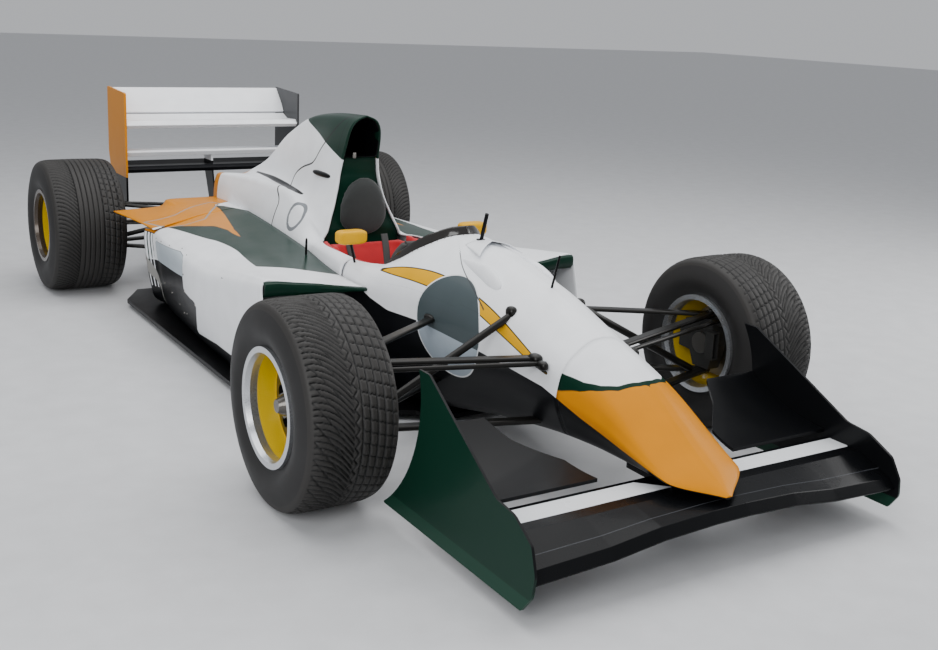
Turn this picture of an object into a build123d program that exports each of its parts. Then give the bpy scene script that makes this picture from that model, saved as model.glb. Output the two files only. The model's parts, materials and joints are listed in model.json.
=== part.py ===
from build123d import *
import math
import os

os.makedirs("parts", exist_ok=True)

# A full-size open wheel racing car, in millimetres.
# The nose points to -Y, the car's left is +X and Z is up. The origin is on the ground,
# at the middle of the car's length and width.

# Driving dimensions
WHEELBASE = 2950.0
FRONT_OVERHANG = 950.0
REAR_OVERHANG = 500.0
OVERALL_HALF_WIDTH = 1000.0
SKIN = 6.0
TUB_WALL = 22.0
REST_GAP = 0.3
RUNNING_CLEARANCE = 0.05

FRONT_TYRE_RADIUS = 320.0
FRONT_TYRE_WIDTH = 305.0
REAR_TYRE_RADIUS = 330.0
REAR_TYRE_WIDTH = 372.0
REAR_TRACK_INSET = 5.0
BEAD_RADIUS = 165.0
FLANGE_RADIUS = 182.0
RIM_WALL = 7.0

# Steering
KINGPIN_X = 770.0
STEERING_ARM = 65.0
ROD_Z = 421.0
RACK_STATION = -255.0
RACK_END_X = 120.0
RACK_RADIUS = 11.0
RACK_HOUSING_TOP = 512.0
ROD_RADIUS = 8.0
ROD_HOLE_GAP = 14.0

LENGTH = FRONT_OVERHANG + WHEELBASE + REAR_OVERHANG
FRONT_AXLE_Y = FRONT_OVERHANG - LENGTH / 2
REAR_AXLE_Y = FRONT_AXLE_Y + WHEELBASE


def at(station):
    """Y of a station, which is measured rearwards from the front axle."""
    return FRONT_AXLE_Y + station


def rear_at(station):
    """Y of a station measured rearwards from the rear axle."""
    return REAR_AXLE_Y + station


def cross_plane(y):
    """An upright plane across the car, with local x to the left and local y up."""
    return Plane(origin=(0, y, 0), x_dir=(1, 0, 0), z_dir=(0, -1, 0))


def side_plane(x):
    """An upright plane along the car, with local x rearwards and local y up."""
    return Plane(origin=(x, 0, 0), x_dir=(0, 1, 0), z_dir=(1, 0, 0))


def rounded(points, radius):
    """A face through the points, with rounded corners."""
    return make_face(FilletPolyline(*points, radius=radius, close=True))


def block(x0, x1, y0, y1, z0, z1):
    """A box between two corners."""
    middle = Pos((x0 + x1) / 2, (y0 + y1) / 2, (z0 + z1) / 2)
    return middle * Box(abs(x1 - x0), abs(y1 - y0), abs(z1 - z0))


def both_sides(piece):
    """A piece and its mirror image on the other side of the car."""
    return [piece, mirror(piece, Plane.YZ)]


def tube(start, end, radius):
    """A round rod between two points."""
    line = Vector(*end) - Vector(*start)
    plane = Plane(origin=start, z_dir=line)
    return extrude(plane * Circle(radius), line.length)


def blade(start, end, chord, thickness):
    """A suspension tube of flattened section, its chord laid along the car."""
    line = Vector(*end) - Vector(*start)
    along = Vector(0, 1, 0) - line * (line.Y / line.length**2)
    plane = Plane(origin=start, x_dir=along, z_dir=line)
    return extrude(plane * SlotOverall(chord, thickness), line.length)


def hull_section(row, inset=0.0):
    """A body section: its corners from floor to crown, mirrored and rounded."""
    station, corner = row[0], row[-1]
    floor, side, *upper = zip(row[1:-1:2], row[2:-1:2])
    crown = upper.pop()
    right = [(floor[0] - inset, floor[1] + inset), (side[0] - inset, side[1])]
    right += [(half - inset, height - inset / 2) for half, height in upper]
    right.append((crown[0] - inset / 2, crown[1] - inset))
    left = [(-x, z) for x, z in reversed(right)]
    radius = max(corner - inset / 2, corner / 2)
    return cross_plane(at(station)) * rounded(right + left, radius)


def hull(rows, inset=0.0):
    """A ruled loft through body sections."""
    return loft([hull_section(row, inset) for row in rows], ruled=True)


# Body sections. The columns are: station, then half width and height of each corner from
# floor to crown (floor, side, shoulder and crown; the cover has a waist too), corner radius.
NOSE_JOINT = -320.0
FLOOR_TOP = 40.0
FLOOR_THICKNESS = 18.0
SEAT_Z = FLOOR_TOP + REST_GAP
COVER_FRONT = 935.0
COVER_SEAM_Z = 452.0
HOOP_STATION = 1345.0
TUB_REAR = 1640.0
COVER_REAR = WHEELBASE - 335.0

NOSE_ROWS = [
    (-906, 8, 202, 14, 206, 10, 209, 4, 212, 0.8),
    (-792, 105, 212, 143, 234, 122, 250, 50, 270, 8),
    (-501, 112, 205, 162, 300, 142, 385, 52, 438, 24),
    (NOSE_JOINT - REST_GAP, 118, 193, 176, 322, 154, 432, 57, 503, 32),
]
TUB_ROWS = [
    (NOSE_JOINT, 118, 193, 176, 322, 154, 432, 57, 503, 32),
    (0, 140, 150, 204, 330, 184, 492, 68, 608, 42),
    (490, 192, 56, 262, 330, 244, 536, 80, 682, 46),
    (600, 204, SEAT_Z, 276, 330, 262, 530, 124, 642, 40),
    (680, 210, SEAT_Z, 282, 330, 268, 522, 150, 586, 30),
    (780, 218, SEAT_Z, 288, 330, 276, 514, 176, 534, 20),
    (COVER_FRONT, 226, SEAT_Z, 294, 330, 284, 510, 150, 534, 20),
    (HOOP_STATION, 236, SEAT_Z, 284, 330, 228, 500, 150, 520, 20),
    (TUB_REAR, 226, SEAT_Z, 262, 330, 214, 440, 150, 480, 20),
]
COCKPIT_ROWS = TUB_ROWS[1:6]
BULGE_FRONT = (164, 50, 508)
BULGE_TAIL = (118, 330, 614)
BULGE_PROFILE = [
    # distance along the axis, radius
    (0, 0), (12, 20), (38, 33), (80, 38), (140, 35), (302, 0),
]
SCREEN_RISE = 30.0
SCREEN_ROOT = 12.0
SCREEN_THICKNESS = 5.0
COWL_ROWS = [
    (COVER_FRONT, 300, 400, 298, COVER_SEAM_Z, 286, 514, 150, 538, 18),
    (HOOP_STATION, 256, 400, 252, COVER_SEAM_Z, 242, 508, 150, 524, 18),
]
COVER_ROWS = [
    (HOOP_STATION, 256, 400, 246, 492, 198, 516, 112, 690, 82, 1038, 46),
    (1500, 246, 400, 238, 496, 188, 584, 112, 690, 68, 1026, 42),
    (1780, 226, 400, 218, 512, 168, 668, 98, 690, 42, 992, 26),
    (2100, 210, 400, 202, 512, 166, 668, 82, 656, 16, 880, 11),
    (2370, 206, 400, 200, 512, 172, 650, 66, 643, 10, 722, 6),
    (COVER_REAR, 204, 430, 196, 500, 176, 622, 60, 610, 12, 618, 4),
]
OPENING_FLOOR = 400.0
OPENING = [
    # half width, station
    (60, 498), (106, 572), (152, 610), (181, 680), (192, 765), (238, 890), (238, 1150),
    (194, HOOP_STATION),
]


def opening_cutter(inset=0.0):
    """The driver's opening: a plan shape, narrow in front, run straight up from the sill."""
    plan = [(half - inset, at(station)) for half, station in OPENING]
    plan[0] = (plan[0][0], plan[0][1] + inset)
    plan += [(-x, y) for x, y in reversed(plan)]
    return extrude(Pos(0, 0, OPENING_FLOOR) * rounded(plan, 20), 400)


def make_bulge():
    """The left rocker cover on the scuttle: a teardrop, blunt in front."""
    start = Vector(BULGE_FRONT[0], at(BULGE_FRONT[1]), BULGE_FRONT[2])
    end = Vector(BULGE_TAIL[0], at(BULGE_TAIL[1]), BULGE_TAIL[2])
    plane = Plane(origin=start, x_dir=end - start, z_dir=(end - start).cross(Vector(0, 0, 1)))
    profile = plane * make_face(Polyline(*BULGE_PROFILE, close=True))
    return revolve(profile, Axis(start, end - start), 360)


def make_tub():
    """The carbon tub: hollow, open above the driver, with the rack's housing in its front."""
    bulge = make_bulge()
    outer = hull(TUB_ROWS) + bulge + mirror(bulge, Plane.YZ)
    front = NOSE_JOINT + TUB_WALL
    inner_rows = [(front,) + interpolate(TUB_ROWS, front)] + TUB_ROWS[1:-2]
    inner_rows += [(HOOP_STATION - TUB_WALL,) + interpolate(TUB_ROWS, HOOP_STATION - TUB_WALL)]
    tub = outer - hull(inner_rows, TUB_WALL)
    tub -= opening_cutter()
    above_seam = block(-400, 400, at(COVER_FRONT), at(TUB_REAR) + 1, COVER_SEAM_Z, 700)
    tub -= above_seam
    for side in (1, -1):
        slope = (-STEERING_ARM - RACK_STATION) / (KINGPIN_X - RACK_END_X)
        start = (side * (RACK_END_X - 40), at(RACK_STATION - 40 * slope), ROD_Z)
        end = (side * (RACK_END_X + 140), at(RACK_STATION + 140 * slope), ROD_Z)
        tub -= tube(start, end, ROD_RADIUS + ROD_HOLE_GAP)
    rack_y = at(RACK_STATION)
    tub += block(-50, 50, rack_y - 22, rack_y + 22, ROD_Z - 24, RACK_HOUSING_TOP)
    tub -= Pos(0, rack_y, ROD_Z) * Rot(0, 90, 0) * Cylinder(RACK_RADIUS + RUNNING_CLEARANCE, 140)
    return tub, outer


def make_screen():
    """The low windscreen: a strip that stands round the front of the driver's opening."""
    strip = opening_cutter() - opening_cutter(SCREEN_THICKNESS)
    raised = []
    for *lower, shoulder_z, crown_x, crown_z, corner in COCKPIT_ROWS:
        raised.append((*lower, shoulder_z + SCREEN_RISE, crown_x, crown_z + SCREEN_RISE, corner))
    return (strip & hull(raised)) - hull(TUB_ROWS, SCREEN_ROOT)


def interpolate(rows, station):
    """The columns of a section between two given ones."""
    for low, high in zip(rows, rows[1:]):
        if low[0] <= station <= high[0]:
            share = (station - low[0]) / (high[0] - low[0])
            return tuple(a + (b - a) * share for a, b in zip(low[1:], high[1:]))
    raise ValueError("station outside the sections")


def make_cover():
    """The one-piece engine cover, which also forms the cockpit's rear sides."""
    outer = hull(COWL_ROWS) + hull(COVER_ROWS)
    inner_front = (HOOP_STATION - 1,) + interpolate(COVER_ROWS, HOOP_STATION)
    inner = hull([inner_front] + COVER_ROWS[1:-1] + [(COVER_REAR + 1,) + COVER_ROWS[-1][1:]], SKIN)
    below = block(-400, 400, at(COVER_FRONT) - 50, at(COVER_REAR) + 50, 300, COVER_SEAM_Z + REST_GAP)
    cowl_inner = hull(
        [(COVER_FRONT - 1,) + COWL_ROWS[0][1:], (HOOP_STATION + 1,) + COWL_ROWS[1][1:]], SKIN
    )
    cover = outer - cowl_inner - inner - below - opening_cutter()
    return cover, outer


def arc_band(points, thickness):
    """A thin curved strip in a side view, through three points, of even thickness."""
    (y0, z0), (y1, z1), (y2, z2) = points
    lower = ThreePointArc((y0, z0), (y1, z1), (y2, z2))
    upper = ThreePointArc((y2, z2 + thickness), (y1, z1 + thickness), (y0, z0 + thickness))
    ends = [Line((y2, z2), (y2, z2 + thickness)), Line((y0, z0 + thickness), (y0, z0))]
    return make_face([lower, ends[0], upper, ends[1]])


# Front wing
PLATE_LEAN = 6.5
PLATE_THICKNESS = 8.0
PLATE_FOOT_X = 696.0
PLATE_FOOT_Z = 45.0
TYRE_GAP = 16.0
MAIN_SECTIONS = [
    # half width, lift of the leading edge
    (60, 34),
    (250, 26),
    (420, 6),
    (720, -8),
]
FLAP_INNER = [(655, -660), (655, -270), (480, -270), (400, -420), (290, -535), (262, -660)]
FLAP_ARC = [(-655, 205), (-470, 240), (-268, 362)]
FLAP_THICKNESS = 11.0


def plate_side(x0, x1):
    """What lies outboard of a leaning line on the left side, between two offsets."""
    piece = block(x0, x1, at(-1300), at(100), -200, 900)
    pivot = (PLATE_FOOT_X, 0, PLATE_FOOT_Z)
    return Pos(*pivot) * Rot(0, -PLATE_LEAN, 0) * Pos(*[-v for v in pivot]) * piece


def make_front_wing():
    """Main plane across the car, curved flaps with cut-away inner ends, leaning endplates."""
    # station, z and the share of the lift that each corner takes
    profile = [
        (-938, 118, 1.0), (-915, 150, 1.0), (-800, 192, 0.1), (-662, 192, 0.0), (-662, 180, 0.0),
        (-790, 168, 0.1), (-900, 106, 1.0),
    ]
    sections = []
    stations = [(-x, lift) for x, lift in reversed(MAIN_SECTIONS)] + MAIN_SECTIONS
    for x, lift in stations:
        points = [(at(y), z + lift * share) for y, z, share in profile]
        sections.append(side_plane(x) * rounded(points, 5))
    main = loft(sections, ruled=True)
    band = arc_band([(at(y), z) for y, z in FLAP_ARC], FLAP_THICKNESS)
    sheet = extrude(side_plane(200) * band, 520)
    plan = make_face(Polyline(*[(x + 60 if x > 600 else x, at(y)) for x, y in FLAP_INNER], close=True))
    flap = sheet & extrude(Pos(0, 0, 100) * plan, 500)
    outside = plate_side(PLATE_FOOT_X - PLATE_THICKNESS - REST_GAP, PLATE_FOOT_X + 400)
    flap -= outside
    main = main - outside - mirror(outside, Plane.YZ)
    rear_edge = FRONT_TYRE_RADIUS + TYRE_GAP
    side = [
        (at(-915), 45), (at(-FRONT_OVERHANG), 95), (at(-FRONT_OVERHANG), 150), (at(-918), 215),
        (at(-830), 262), (at(-745), 272),
        (at(-350), 484), (at(-200), 484), (at(-200), 45),
    ]
    plate_face = rounded(side, [12, 30, 30, 30, 60, 60, 25, 5, 5])
    plate = extrude(side_plane(PLATE_FOOT_X - PLATE_THICKNESS) * plate_face, PLATE_THICKNESS)
    pivot = (PLATE_FOOT_X, 0, PLATE_FOOT_Z)
    plate = Pos(*pivot) * Rot(0, -PLATE_LEAN, 0) * Pos(*[-v for v in pivot]) * plate
    wheel_space = Pos(0, at(0), FRONT_TYRE_RADIUS) * Rot(0, 90, 0) * Cylinder(rear_edge, 2000)
    plate -= wheel_space
    flap -= wheel_space
    return main, flap, plate


# Wheels. Local x runs from the wheel's middle to its outer face.
def make_tyre(radius, width):
    """A fat racing tyre: beads, bulged sidewalls, rounded shoulders and a flat tread."""
    half = width / 2
    bead = half - 22
    profile = [
        (bead, BEAD_RADIUS + REST_GAP), (bead, FLANGE_RADIUS + 3), (half - 6, BEAD_RADIUS + 36),
        (half, BEAD_RADIUS + 62), (half, radius - 62), (half - 5, radius - 34), (half - 14, radius - 16),
        (half - 26, radius - 5), (half - 42, radius),
    ]
    profile += [(-x, z) for x, z in reversed(profile)]
    return revolve(make_face(Polyline(*profile, close=True)), Axis.X, 360)


def make_rim(width, lip_inset, disc_outer, shaft_radius):
    """A three-piece racing rim: lips, barrel, a drilled centre and a centre-lock nut."""
    half = width / 2 - lip_inset
    bead = width / 2 - 22
    top = FLANGE_RADIUS
    seat = BEAD_RADIUS
    inner = BEAD_RADIUS - RIM_WALL
    barrel = make_face(Polyline(
        (-half, top), (-bead - REST_GAP, top), (-bead - REST_GAP, seat), (bead + REST_GAP, seat),
        (bead + REST_GAP, top), (half, top), (half, seat - 1), (half - 16, inner), (-half + 16, inner),
        (-half, seat - 1), close=True))
    rim = revolve(barrel, Axis.X, 360)
    disc_inner = disc_outer - 16
    face = make_face(Polyline(
        (disc_inner, shaft_radius), (disc_inner - 6, inner + 0.5), (disc_outer - 6, inner + 0.5),
        (disc_outer, 66), (disc_outer + 14, 50), (disc_outer + 14, shaft_radius), close=True))
    centre = revolve(face, Axis.X, 360)
    hole = Pos(disc_outer - 20, 0, 0) * Rot(0, 90, 0) * Cylinder(24, 80)
    for number in range(8):
        centre -= Rot(number * 45, 0, 0) * Pos(0, 0, 110) * hole
    return rim + centre


def make_nut(start, shaft_radius):
    """The hexagonal centre-lock nut on the hub's end, with a tapered nose."""
    body = extrude(Plane(origin=(start, 0, 0), z_dir=(1, 0, 0)) * RegularPolygon(42, 6), 22)
    nose = Pos(start + 22 + 12, 0, 0) * Rot(0, 90, 0) * Cone(34, 20, 24)
    return body + nose - Pos(start, 0, 0) * Rot(0, 90, 0) * Cylinder(shaft_radius, 36)


HUB_SHAFT = 30.0
DRIVESHAFT_RADIUS = 17.0
DISC_RADIUS = 134.0
DISC_THICKNESS = 24.0
BELL_RADIUS = 60.0


def make_hub(inner_end, disc_x, outer_end, retaining=40.0):
    """A hub shaft with its brake disc, bell and drive flange."""
    length = outer_end - inner_end
    shaft = Pos(inner_end + length / 2, 0, 0) * Rot(0, 90, 0) * Cylinder(HUB_SHAFT - REST_GAP, length)
    disc = Pos(disc_x, 0, 0) * Rot(0, 90, 0) * Cylinder(DISC_RADIUS, DISC_THICKNESS)
    bell = Pos(disc_x + 20, 0, 0) * Rot(0, 90, 0) * Cylinder(BELL_RADIUS, 24 + DISC_THICKNESS / 2)
    ring = Pos(inner_end + 4, 0, 0) * Rot(0, 90, 0) * Cylinder(retaining, 8)
    return shaft + disc + bell + ring


# Wheel places, outwards from the car's middle
FRONT_WHEEL_X = OVERALL_HALF_WIDTH - FRONT_TYRE_WIDTH / 2
REAR_WHEEL_X = OVERALL_HALF_WIDTH - REAR_TRACK_INSET - REAR_TYRE_WIDTH / 2
FRONT_LIP_INSET = 8.0
REAR_LIP_INSET = 14.0
FRONT_DISC_X = 830.0
REAR_DISC_X = 812.0
FRONT_CENTRE_X = 896.0
REAR_CENTRE_X = 880.0
UPRIGHT_INNER_X = 742.0
UPRIGHT_OUTER_X = 798.0
REAR_UPRIGHT_INNER_X = 705.0
REAR_UPRIGHT_OUTER_X = 765.0
JOINT_LIFT = 96.0
PIN_RADIUS = 8.0
JOINT_RADIUS = 17.0
JOINT_HEIGHT = 22.0
CALIPER_GAP = 5.0
MOVING_GAP = 6.0


def make_caliper(inner_x, disc_x, outer_x):
    """A brake caliper behind the axle, slotted round the disc."""
    body = Pos((inner_x + outer_x) / 2, 0, 0) * Rot(0, 90, 0) * Cylinder(152, outer_x - inner_x)
    body &= block(inner_x, outer_x, 82, 160, -56, 56)
    slot = DISC_THICKNESS + 2 * CALIPER_GAP
    return body - Pos(disc_x, 0, 0) * Rot(0, 90, 0) * Cylinder(DISC_RADIUS + CALIPER_GAP, slot)


def make_upright(inner_x, outer_x, disc_x, caliper_outer):
    """An upright with its bearing bore, caliper, joint pins and lightened waist."""
    lift = JOINT_LIFT
    profile = [
        (-40, -lift), (40, -lift), (62, -44), (122, -40), (122, 42), (60, 52), (40, lift), (-40, lift),
        (-64, 0),
    ]
    body = extrude(side_plane(inner_x) * rounded(profile, 7), outer_x - inner_x)
    body += make_caliper(outer_x - 12, disc_x, caliper_outer)
    bore = Pos((inner_x + outer_x) / 2, 0, 0) * Rot(0, 90, 0)
    body -= bore * Cylinder(HUB_SHAFT - REST_GAP + RUNNING_CLEARANCE, 400)
    return body


def make_knuckle():
    """The steered front upright: kingpins, steering arm and brake scoop."""
    body = make_upright(UPRIGHT_INNER_X, UPRIGHT_OUTER_X, FRONT_DISC_X, FRONT_DISC_X + 36)
    body -= Pos(FRONT_DISC_X + 100, 0, 0) * Rot(0, 90, 0) * Cylinder(BELL_RADIUS + MOVING_GAP, 260)
    for end in (1, -1):
        middle = end * (JOINT_LIFT + JOINT_HEIGHT / 2)
        body += Pos(KINGPIN_X, 0, middle) * Cylinder(PIN_RADIUS, JOINT_HEIGHT + 12)
    arm_top = ROD_Z - FRONT_TYRE_RADIUS - 13
    body += block(KINGPIN_X - 13, KINGPIN_X + 13, -STEERING_ARM - 12, -20, arm_top - 12, arm_top)
    scoop = block(UPRIGHT_INNER_X - 30, UPRIGHT_INNER_X, -86, -48, -44, 58)
    scoop += block(UPRIGHT_INNER_X - 30, UPRIGHT_INNER_X + 30, -60, -44, -44, 58)
    scoop -= block(UPRIGHT_INNER_X - 26, UPRIGHT_INNER_X - 4, -90, -52, -40, 54)
    return body + scoop


def wishbone(outer, legs, chord, thickness, hole):
    """A wishbone: a joint housing and legs that run to the body."""
    housing = Pos(*outer) * Cylinder(JOINT_RADIUS, JOINT_HEIGHT - 2)
    piece = housing
    for leg in legs:
        piece += blade(outer, leg, chord, thickness)
    if hole:
        piece -= Pos(*outer) * Cylinder(PIN_RADIUS + RUNNING_CLEARANCE, 80)
    return piece


def make_front_suspension():
    """Left side wishbones and pushrod, each ending at the tub's skin."""
    upper_z = FRONT_TYRE_RADIUS + JOINT_LIFT + JOINT_HEIGHT / 2
    lower_z = FRONT_TYRE_RADIUS - JOINT_LIFT - JOINT_HEIGHT / 2
    upper = wishbone(
        (KINGPIN_X, at(0), upper_z), [(150, at(-205), 428), (190, at(366), 424)], 38, 15, True)
    lower = wishbone(
        (KINGPIN_X, at(0), lower_z), [(90, at(-205), 215), (150, at(366), 205)], 42, 17, True)
    foot = (690, at(-4), lower_z + 14)
    pushrod = tube(foot, (120, at(-16), 530), 13)
    return upper - tub_outer, lower - tub_outer, pushrod - tub_outer - lower


def make_rack():
    """The steering rack, with its two track rods on the ends."""
    bar = Pos(0, at(RACK_STATION), ROD_Z) * Rot(0, 90, 0) * Cylinder(RACK_RADIUS, 2 * RACK_END_X)
    for side in (1, -1):
        inner = (side * (RACK_END_X - 4), at(RACK_STATION), ROD_Z)
        eye = (side * KINGPIN_X, at(-STEERING_ARM), ROD_Z)
        bar += tube(inner, eye, ROD_RADIUS)
        bar += Pos(*eye) * Sphere(11)
    return bar


# Sidepod sections. The columns are: station, foot x, side x, belly z, edge z, then x and z
# of the shoulder, of the top's middle and of its inner end under the engine cover.
POD_INNER_X = 262.0
POD_FRONT = 757.0
POD_LEAN = 0.277
POD_TOP = 512.0
POD_TAIL = WHEELBASE - 720.0
DECK_TAIL = WHEELBASE - 362.0
POD_ROWS = [
    (POD_FRONT - 160, 660, 702, 300, 484, 680, 511, 480, 483, 262, 447),
    (POD_FRONT, 660, 702, 300, 484, 680, 511, 480, 483, 262, 447),
    (900, 655, 700, 298, 462, 668, 496, 480, 480, 262, 454),
    (1419, 645, 698, 290, 402, 646, 440, 440, 473, 232, 486),
    (POD_TAIL - 130, 600, 648, 240, 396, 604, 426, 400, 478, 190, 509),
    (POD_TAIL, 580, 634, 220, 398, 590, 426, 400, 480, 188, 511),
]
DECK_ROWS = [
    # station, then x and z of the inner edge, the step's top, its foot and the outer edge
    (POD_TAIL, 188, 511, 400, 480, 560, 437, 634, 422),
    (POD_TAIL + 170, 186, 508, 420, 490, 575, 446, 664, 436),
    (DECK_TAIL, 184, 501, 455, 499, 478, 462, 717, 452),
]
DECK_THICKNESS = 12.0
LIP_ROWS = [
    # x, z of the top, depth of the lip
    (276, 448, 10), (480, 482, 28), (650, 506, 40),
]


def pod_section(row, inset=0.0, inner_inset=0.0):
    """One sidepod section, on the left side."""
    station, foot, side, belly_z, edge_z, *top = row
    shoulder_x, shoulder_z, middle_x, middle_z, inner_x, inner_z = top
    points = [
        (POD_INNER_X + inner_inset, SEAT_Z + inset), (foot - inset, SEAT_Z + inset),
        (side - inset, belly_z), (side - inset, edge_z - inset / 2),
        (shoulder_x - inset / 2, shoulder_z - inset), (middle_x, middle_z - inset),
        (inner_x + inner_inset, inner_z - inset),
    ]
    radii = [2, 12, 60, 16, 26, 200, 2]
    return cross_plane(at(station)) * rounded(points, radii)


def pod_front(z):
    """Y of the sidepod's leaning front edge at a height."""
    return at(POD_FRONT - POD_LEAN * (POD_TOP - z))


def make_lip():
    """The thick rounded lip under the inlet's top edge, deeper towards the outside."""
    slices = []
    for x, z, depth in LIP_ROWS:
        low = z - depth
        points = [(pod_front(z), z - 1), (pod_front(z) - 2, z - 0.4 * depth), (pod_front(low) + 10, low),
                  (pod_front(low) + 30, low), (pod_front(z) + 60, z - SKIN)]
        slices.append(side_plane(x) * make_face(Polyline(*points, close=True)))
    return loft(slices, ruled=True)


def make_sidepod():
    """The left sidepod: a hollow duct with a leaning inlet and a thick lip, and its rear deck."""
    outer = loft([pod_section(row) for row in POD_ROWS], ruled=True)
    ends = [(POD_ROWS[0][0] - 1,) + POD_ROWS[0][1:]] + POD_ROWS[1:-1]
    ends += [(POD_ROWS[-1][0] + 1,) + POD_ROWS[-1][1:]]
    duct = loft([pod_section(row, SKIN, -1.0) for row in ends], ruled=True)
    ahead = make_face(Polyline(
        (at(300), 0), (pod_front(0), 0), (pod_front(600), 600), (at(300), 600), close=True))
    pod = outer - duct - extrude(side_plane(100) * ahead, 800)
    slices = []
    for station, *line in DECK_ROWS:
        top = list(zip(line[::2], line[1::2]))
        low = [(x, z - DECK_THICKNESS) for x, z in reversed(top)]
        slices.append(cross_plane(at(station)) * make_face(Polyline(*top, *low, close=True)))
    pod = pod + make_lip() + loft(slices, ruled=True)
    return pod - tub_outer - cover_outer


def make_radiator():
    """A slanted radiator core that fills the duct."""
    core = Pos(500, at(1040), 240) * Rot(0, 0, 28) * Box(560, 58, 460)
    gap = SKIN + REST_GAP
    fitted = loft([pod_section(row, gap, gap) for row in POD_ROWS[2:4]], ruled=True)
    return core & fitted


DIFFUSER_START = WHEELBASE - 330.0
DIFFUSER_END = WHEELBASE + 250.0
DIFFUSER_HALF = 380.0


def make_floor():
    """The flat floor, wide under the sidepods and narrow ahead of them."""
    half = [
        (0, 380), (170, 380), (205, 470), (330, 540), (660, 600), (702, 660), (702, 2440),
        (600, DIFFUSER_START), (0, DIFFUSER_START),
    ]
    points = [(x, at(y)) for x, y in half] + [(-x, at(y)) for x, y in reversed(half[1:-1])]
    face = make_face(Polyline(*points, close=True))
    return Pos(0, 0, FLOOR_TOP - FLOOR_THICKNESS) * extrude(face, FLOOR_THICKNESS)


def make_diffuser():
    """The rising tunnel behind the floor, with upright strakes."""
    low = FLOOR_TOP - FLOOR_THICKNESS
    start = at(DIFFUSER_START) + REST_GAP
    end = at(DIFFUSER_END)
    roof = make_face(Polyline((start, low), (end, 176), (end, 186), (start, low + 12), close=True))
    piece = extrude(side_plane(-DIFFUSER_HALF) * roof, 2 * DIFFUSER_HALF)
    strake = make_face(Polyline((start, low), (end - 40, low + 24), (end, 60), (end, 180), close=True))
    for x in (-DIFFUSER_HALF, -190, -64, 58, 184, DIFFUSER_HALF - 6):
        piece += extrude(side_plane(x) * strake, 6)
    return piece


GEARBOX_ROWS = [
    (2240, 150, 70, 172, 200, 160, 330, 110, 408, 20),
    (2620, 96, 110, 118, 220, 112, 340, 80, 410, 18),
    (WHEELBASE + 120, 62, 200, 80, 250, 76, 340, 50, 392, 14),
]


def make_drivetrain():
    """A plain engine block and the gearbox casing behind it."""
    engine = block(-165, 165, at(TUB_REAR) + REST_GAP, at(2240) - REST_GAP, 70, 430)
    gearbox = hull(GEARBOX_ROWS)
    flange = Pos(0, at(WHEELBASE), REAR_TYRE_RADIUS) * Rot(0, 90, 0) * Cylinder(46, 250)
    return engine, gearbox + flange


JACK_BAR_RADIUS = 11.0
JACK_BAR_LENGTH = 180.0
TOW_HOLE_RADIUS = 14.0
EYE_Z = 224.0
JACK_BAR_BEHIND = 345.0
TOW_HOLE_BEHIND = 386.0
EYE_THICKNESS = 10.0


def make_rear_structure():
    """The crash structure behind the gearbox, with the rain light and a jacking bar."""
    rows = [
        (WHEELBASE + 120 + REST_GAP, 52, 214, 66, 256, 62, 336, 44, 380, 12),
        (WHEELBASE + 345, 30, 262, 40, 280, 38, 330, 26, 350, 8),
    ]
    body = hull(rows)
    light = block(-34, 34, at(WHEELBASE + 345) + REST_GAP, at(WHEELBASE + 372), 268, 344)
    across = Rot(0, 90, 0)
    bar = Pos(0, rear_at(JACK_BAR_BEHIND), EYE_Z) * across * Cylinder(JACK_BAR_RADIUS, JACK_BAR_LENGTH)
    eye_plate = [(290, 196), (400, 196), (414, 210), (414, 246), (396, 262), (290, 262)]
    eye_face = make_face(Polyline(*[(rear_at(y), z) for y, z in eye_plate], close=True))
    plate = extrude(side_plane(-EYE_THICKNESS / 2) * eye_face, EYE_THICKNESS)
    plate -= Pos(0, rear_at(TOW_HOLE_BEHIND), EYE_Z) * across * Cylinder(TOW_HOLE_RADIUS, 60)
    return body + bar + plate, light


def make_rear_suspension():
    """Left rear wishbones, toe link and upright, which stay with the chassis."""
    axle_y = at(WHEELBASE)
    radius = REAR_TYRE_RADIUS
    joint_x = (REAR_UPRIGHT_INNER_X + REAR_UPRIGHT_OUTER_X) / 2
    upright = make_upright(REAR_UPRIGHT_INNER_X, REAR_UPRIGHT_OUTER_X, REAR_DISC_X, REAR_DISC_X + 34)
    upright -= Pos(REAR_DISC_X + 100, 0, 0) * Rot(0, 90, 0) * Cylinder(BELL_RADIUS + MOVING_GAP, 260)
    upright = Pos(0, axle_y, radius) * upright
    upper_z = radius + JOINT_LIFT + JOINT_HEIGHT / 2
    lower_z = radius - JOINT_LIFT - JOINT_HEIGHT / 2
    upper_legs = [(60, rear_at(-330), 392), (40, rear_at(60), 378)]
    lower_legs = [(60, rear_at(-330), 190), (40, rear_at(60), 238)]
    upper = wishbone((joint_x, axle_y, upper_z), upper_legs, 36, 15, False)
    lower = wishbone((joint_x, axle_y, lower_z), lower_legs, 42, 17, False)
    casing = gearbox + crash
    toe = tube((joint_x, rear_at(58), radius - 20), (40, rear_at(92), 290), 9)
    strut = tube((joint_x - 46, rear_at(-14), lower_z + 12), (60, rear_at(-190), 400), 12)
    upright -= upper
    return [upper - casing - upright, lower - casing - upright, toe - casing - upright,
            strut - casing - upright - lower - upper, upright]


def make_exhaust():
    """The left tailpipe, open at its end."""
    start = (178, at(1900), 180)
    end = (226, at(2560), 196)
    return tube(start, end, 34) - tube((226 + 4, at(2560) + 55, 197.5), (222, at(2505), 195), 30)


# Rear wing, in stations behind the rear axle
REAR_WING_HALF = 500.0
REAR_PLATE = 11.0


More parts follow.
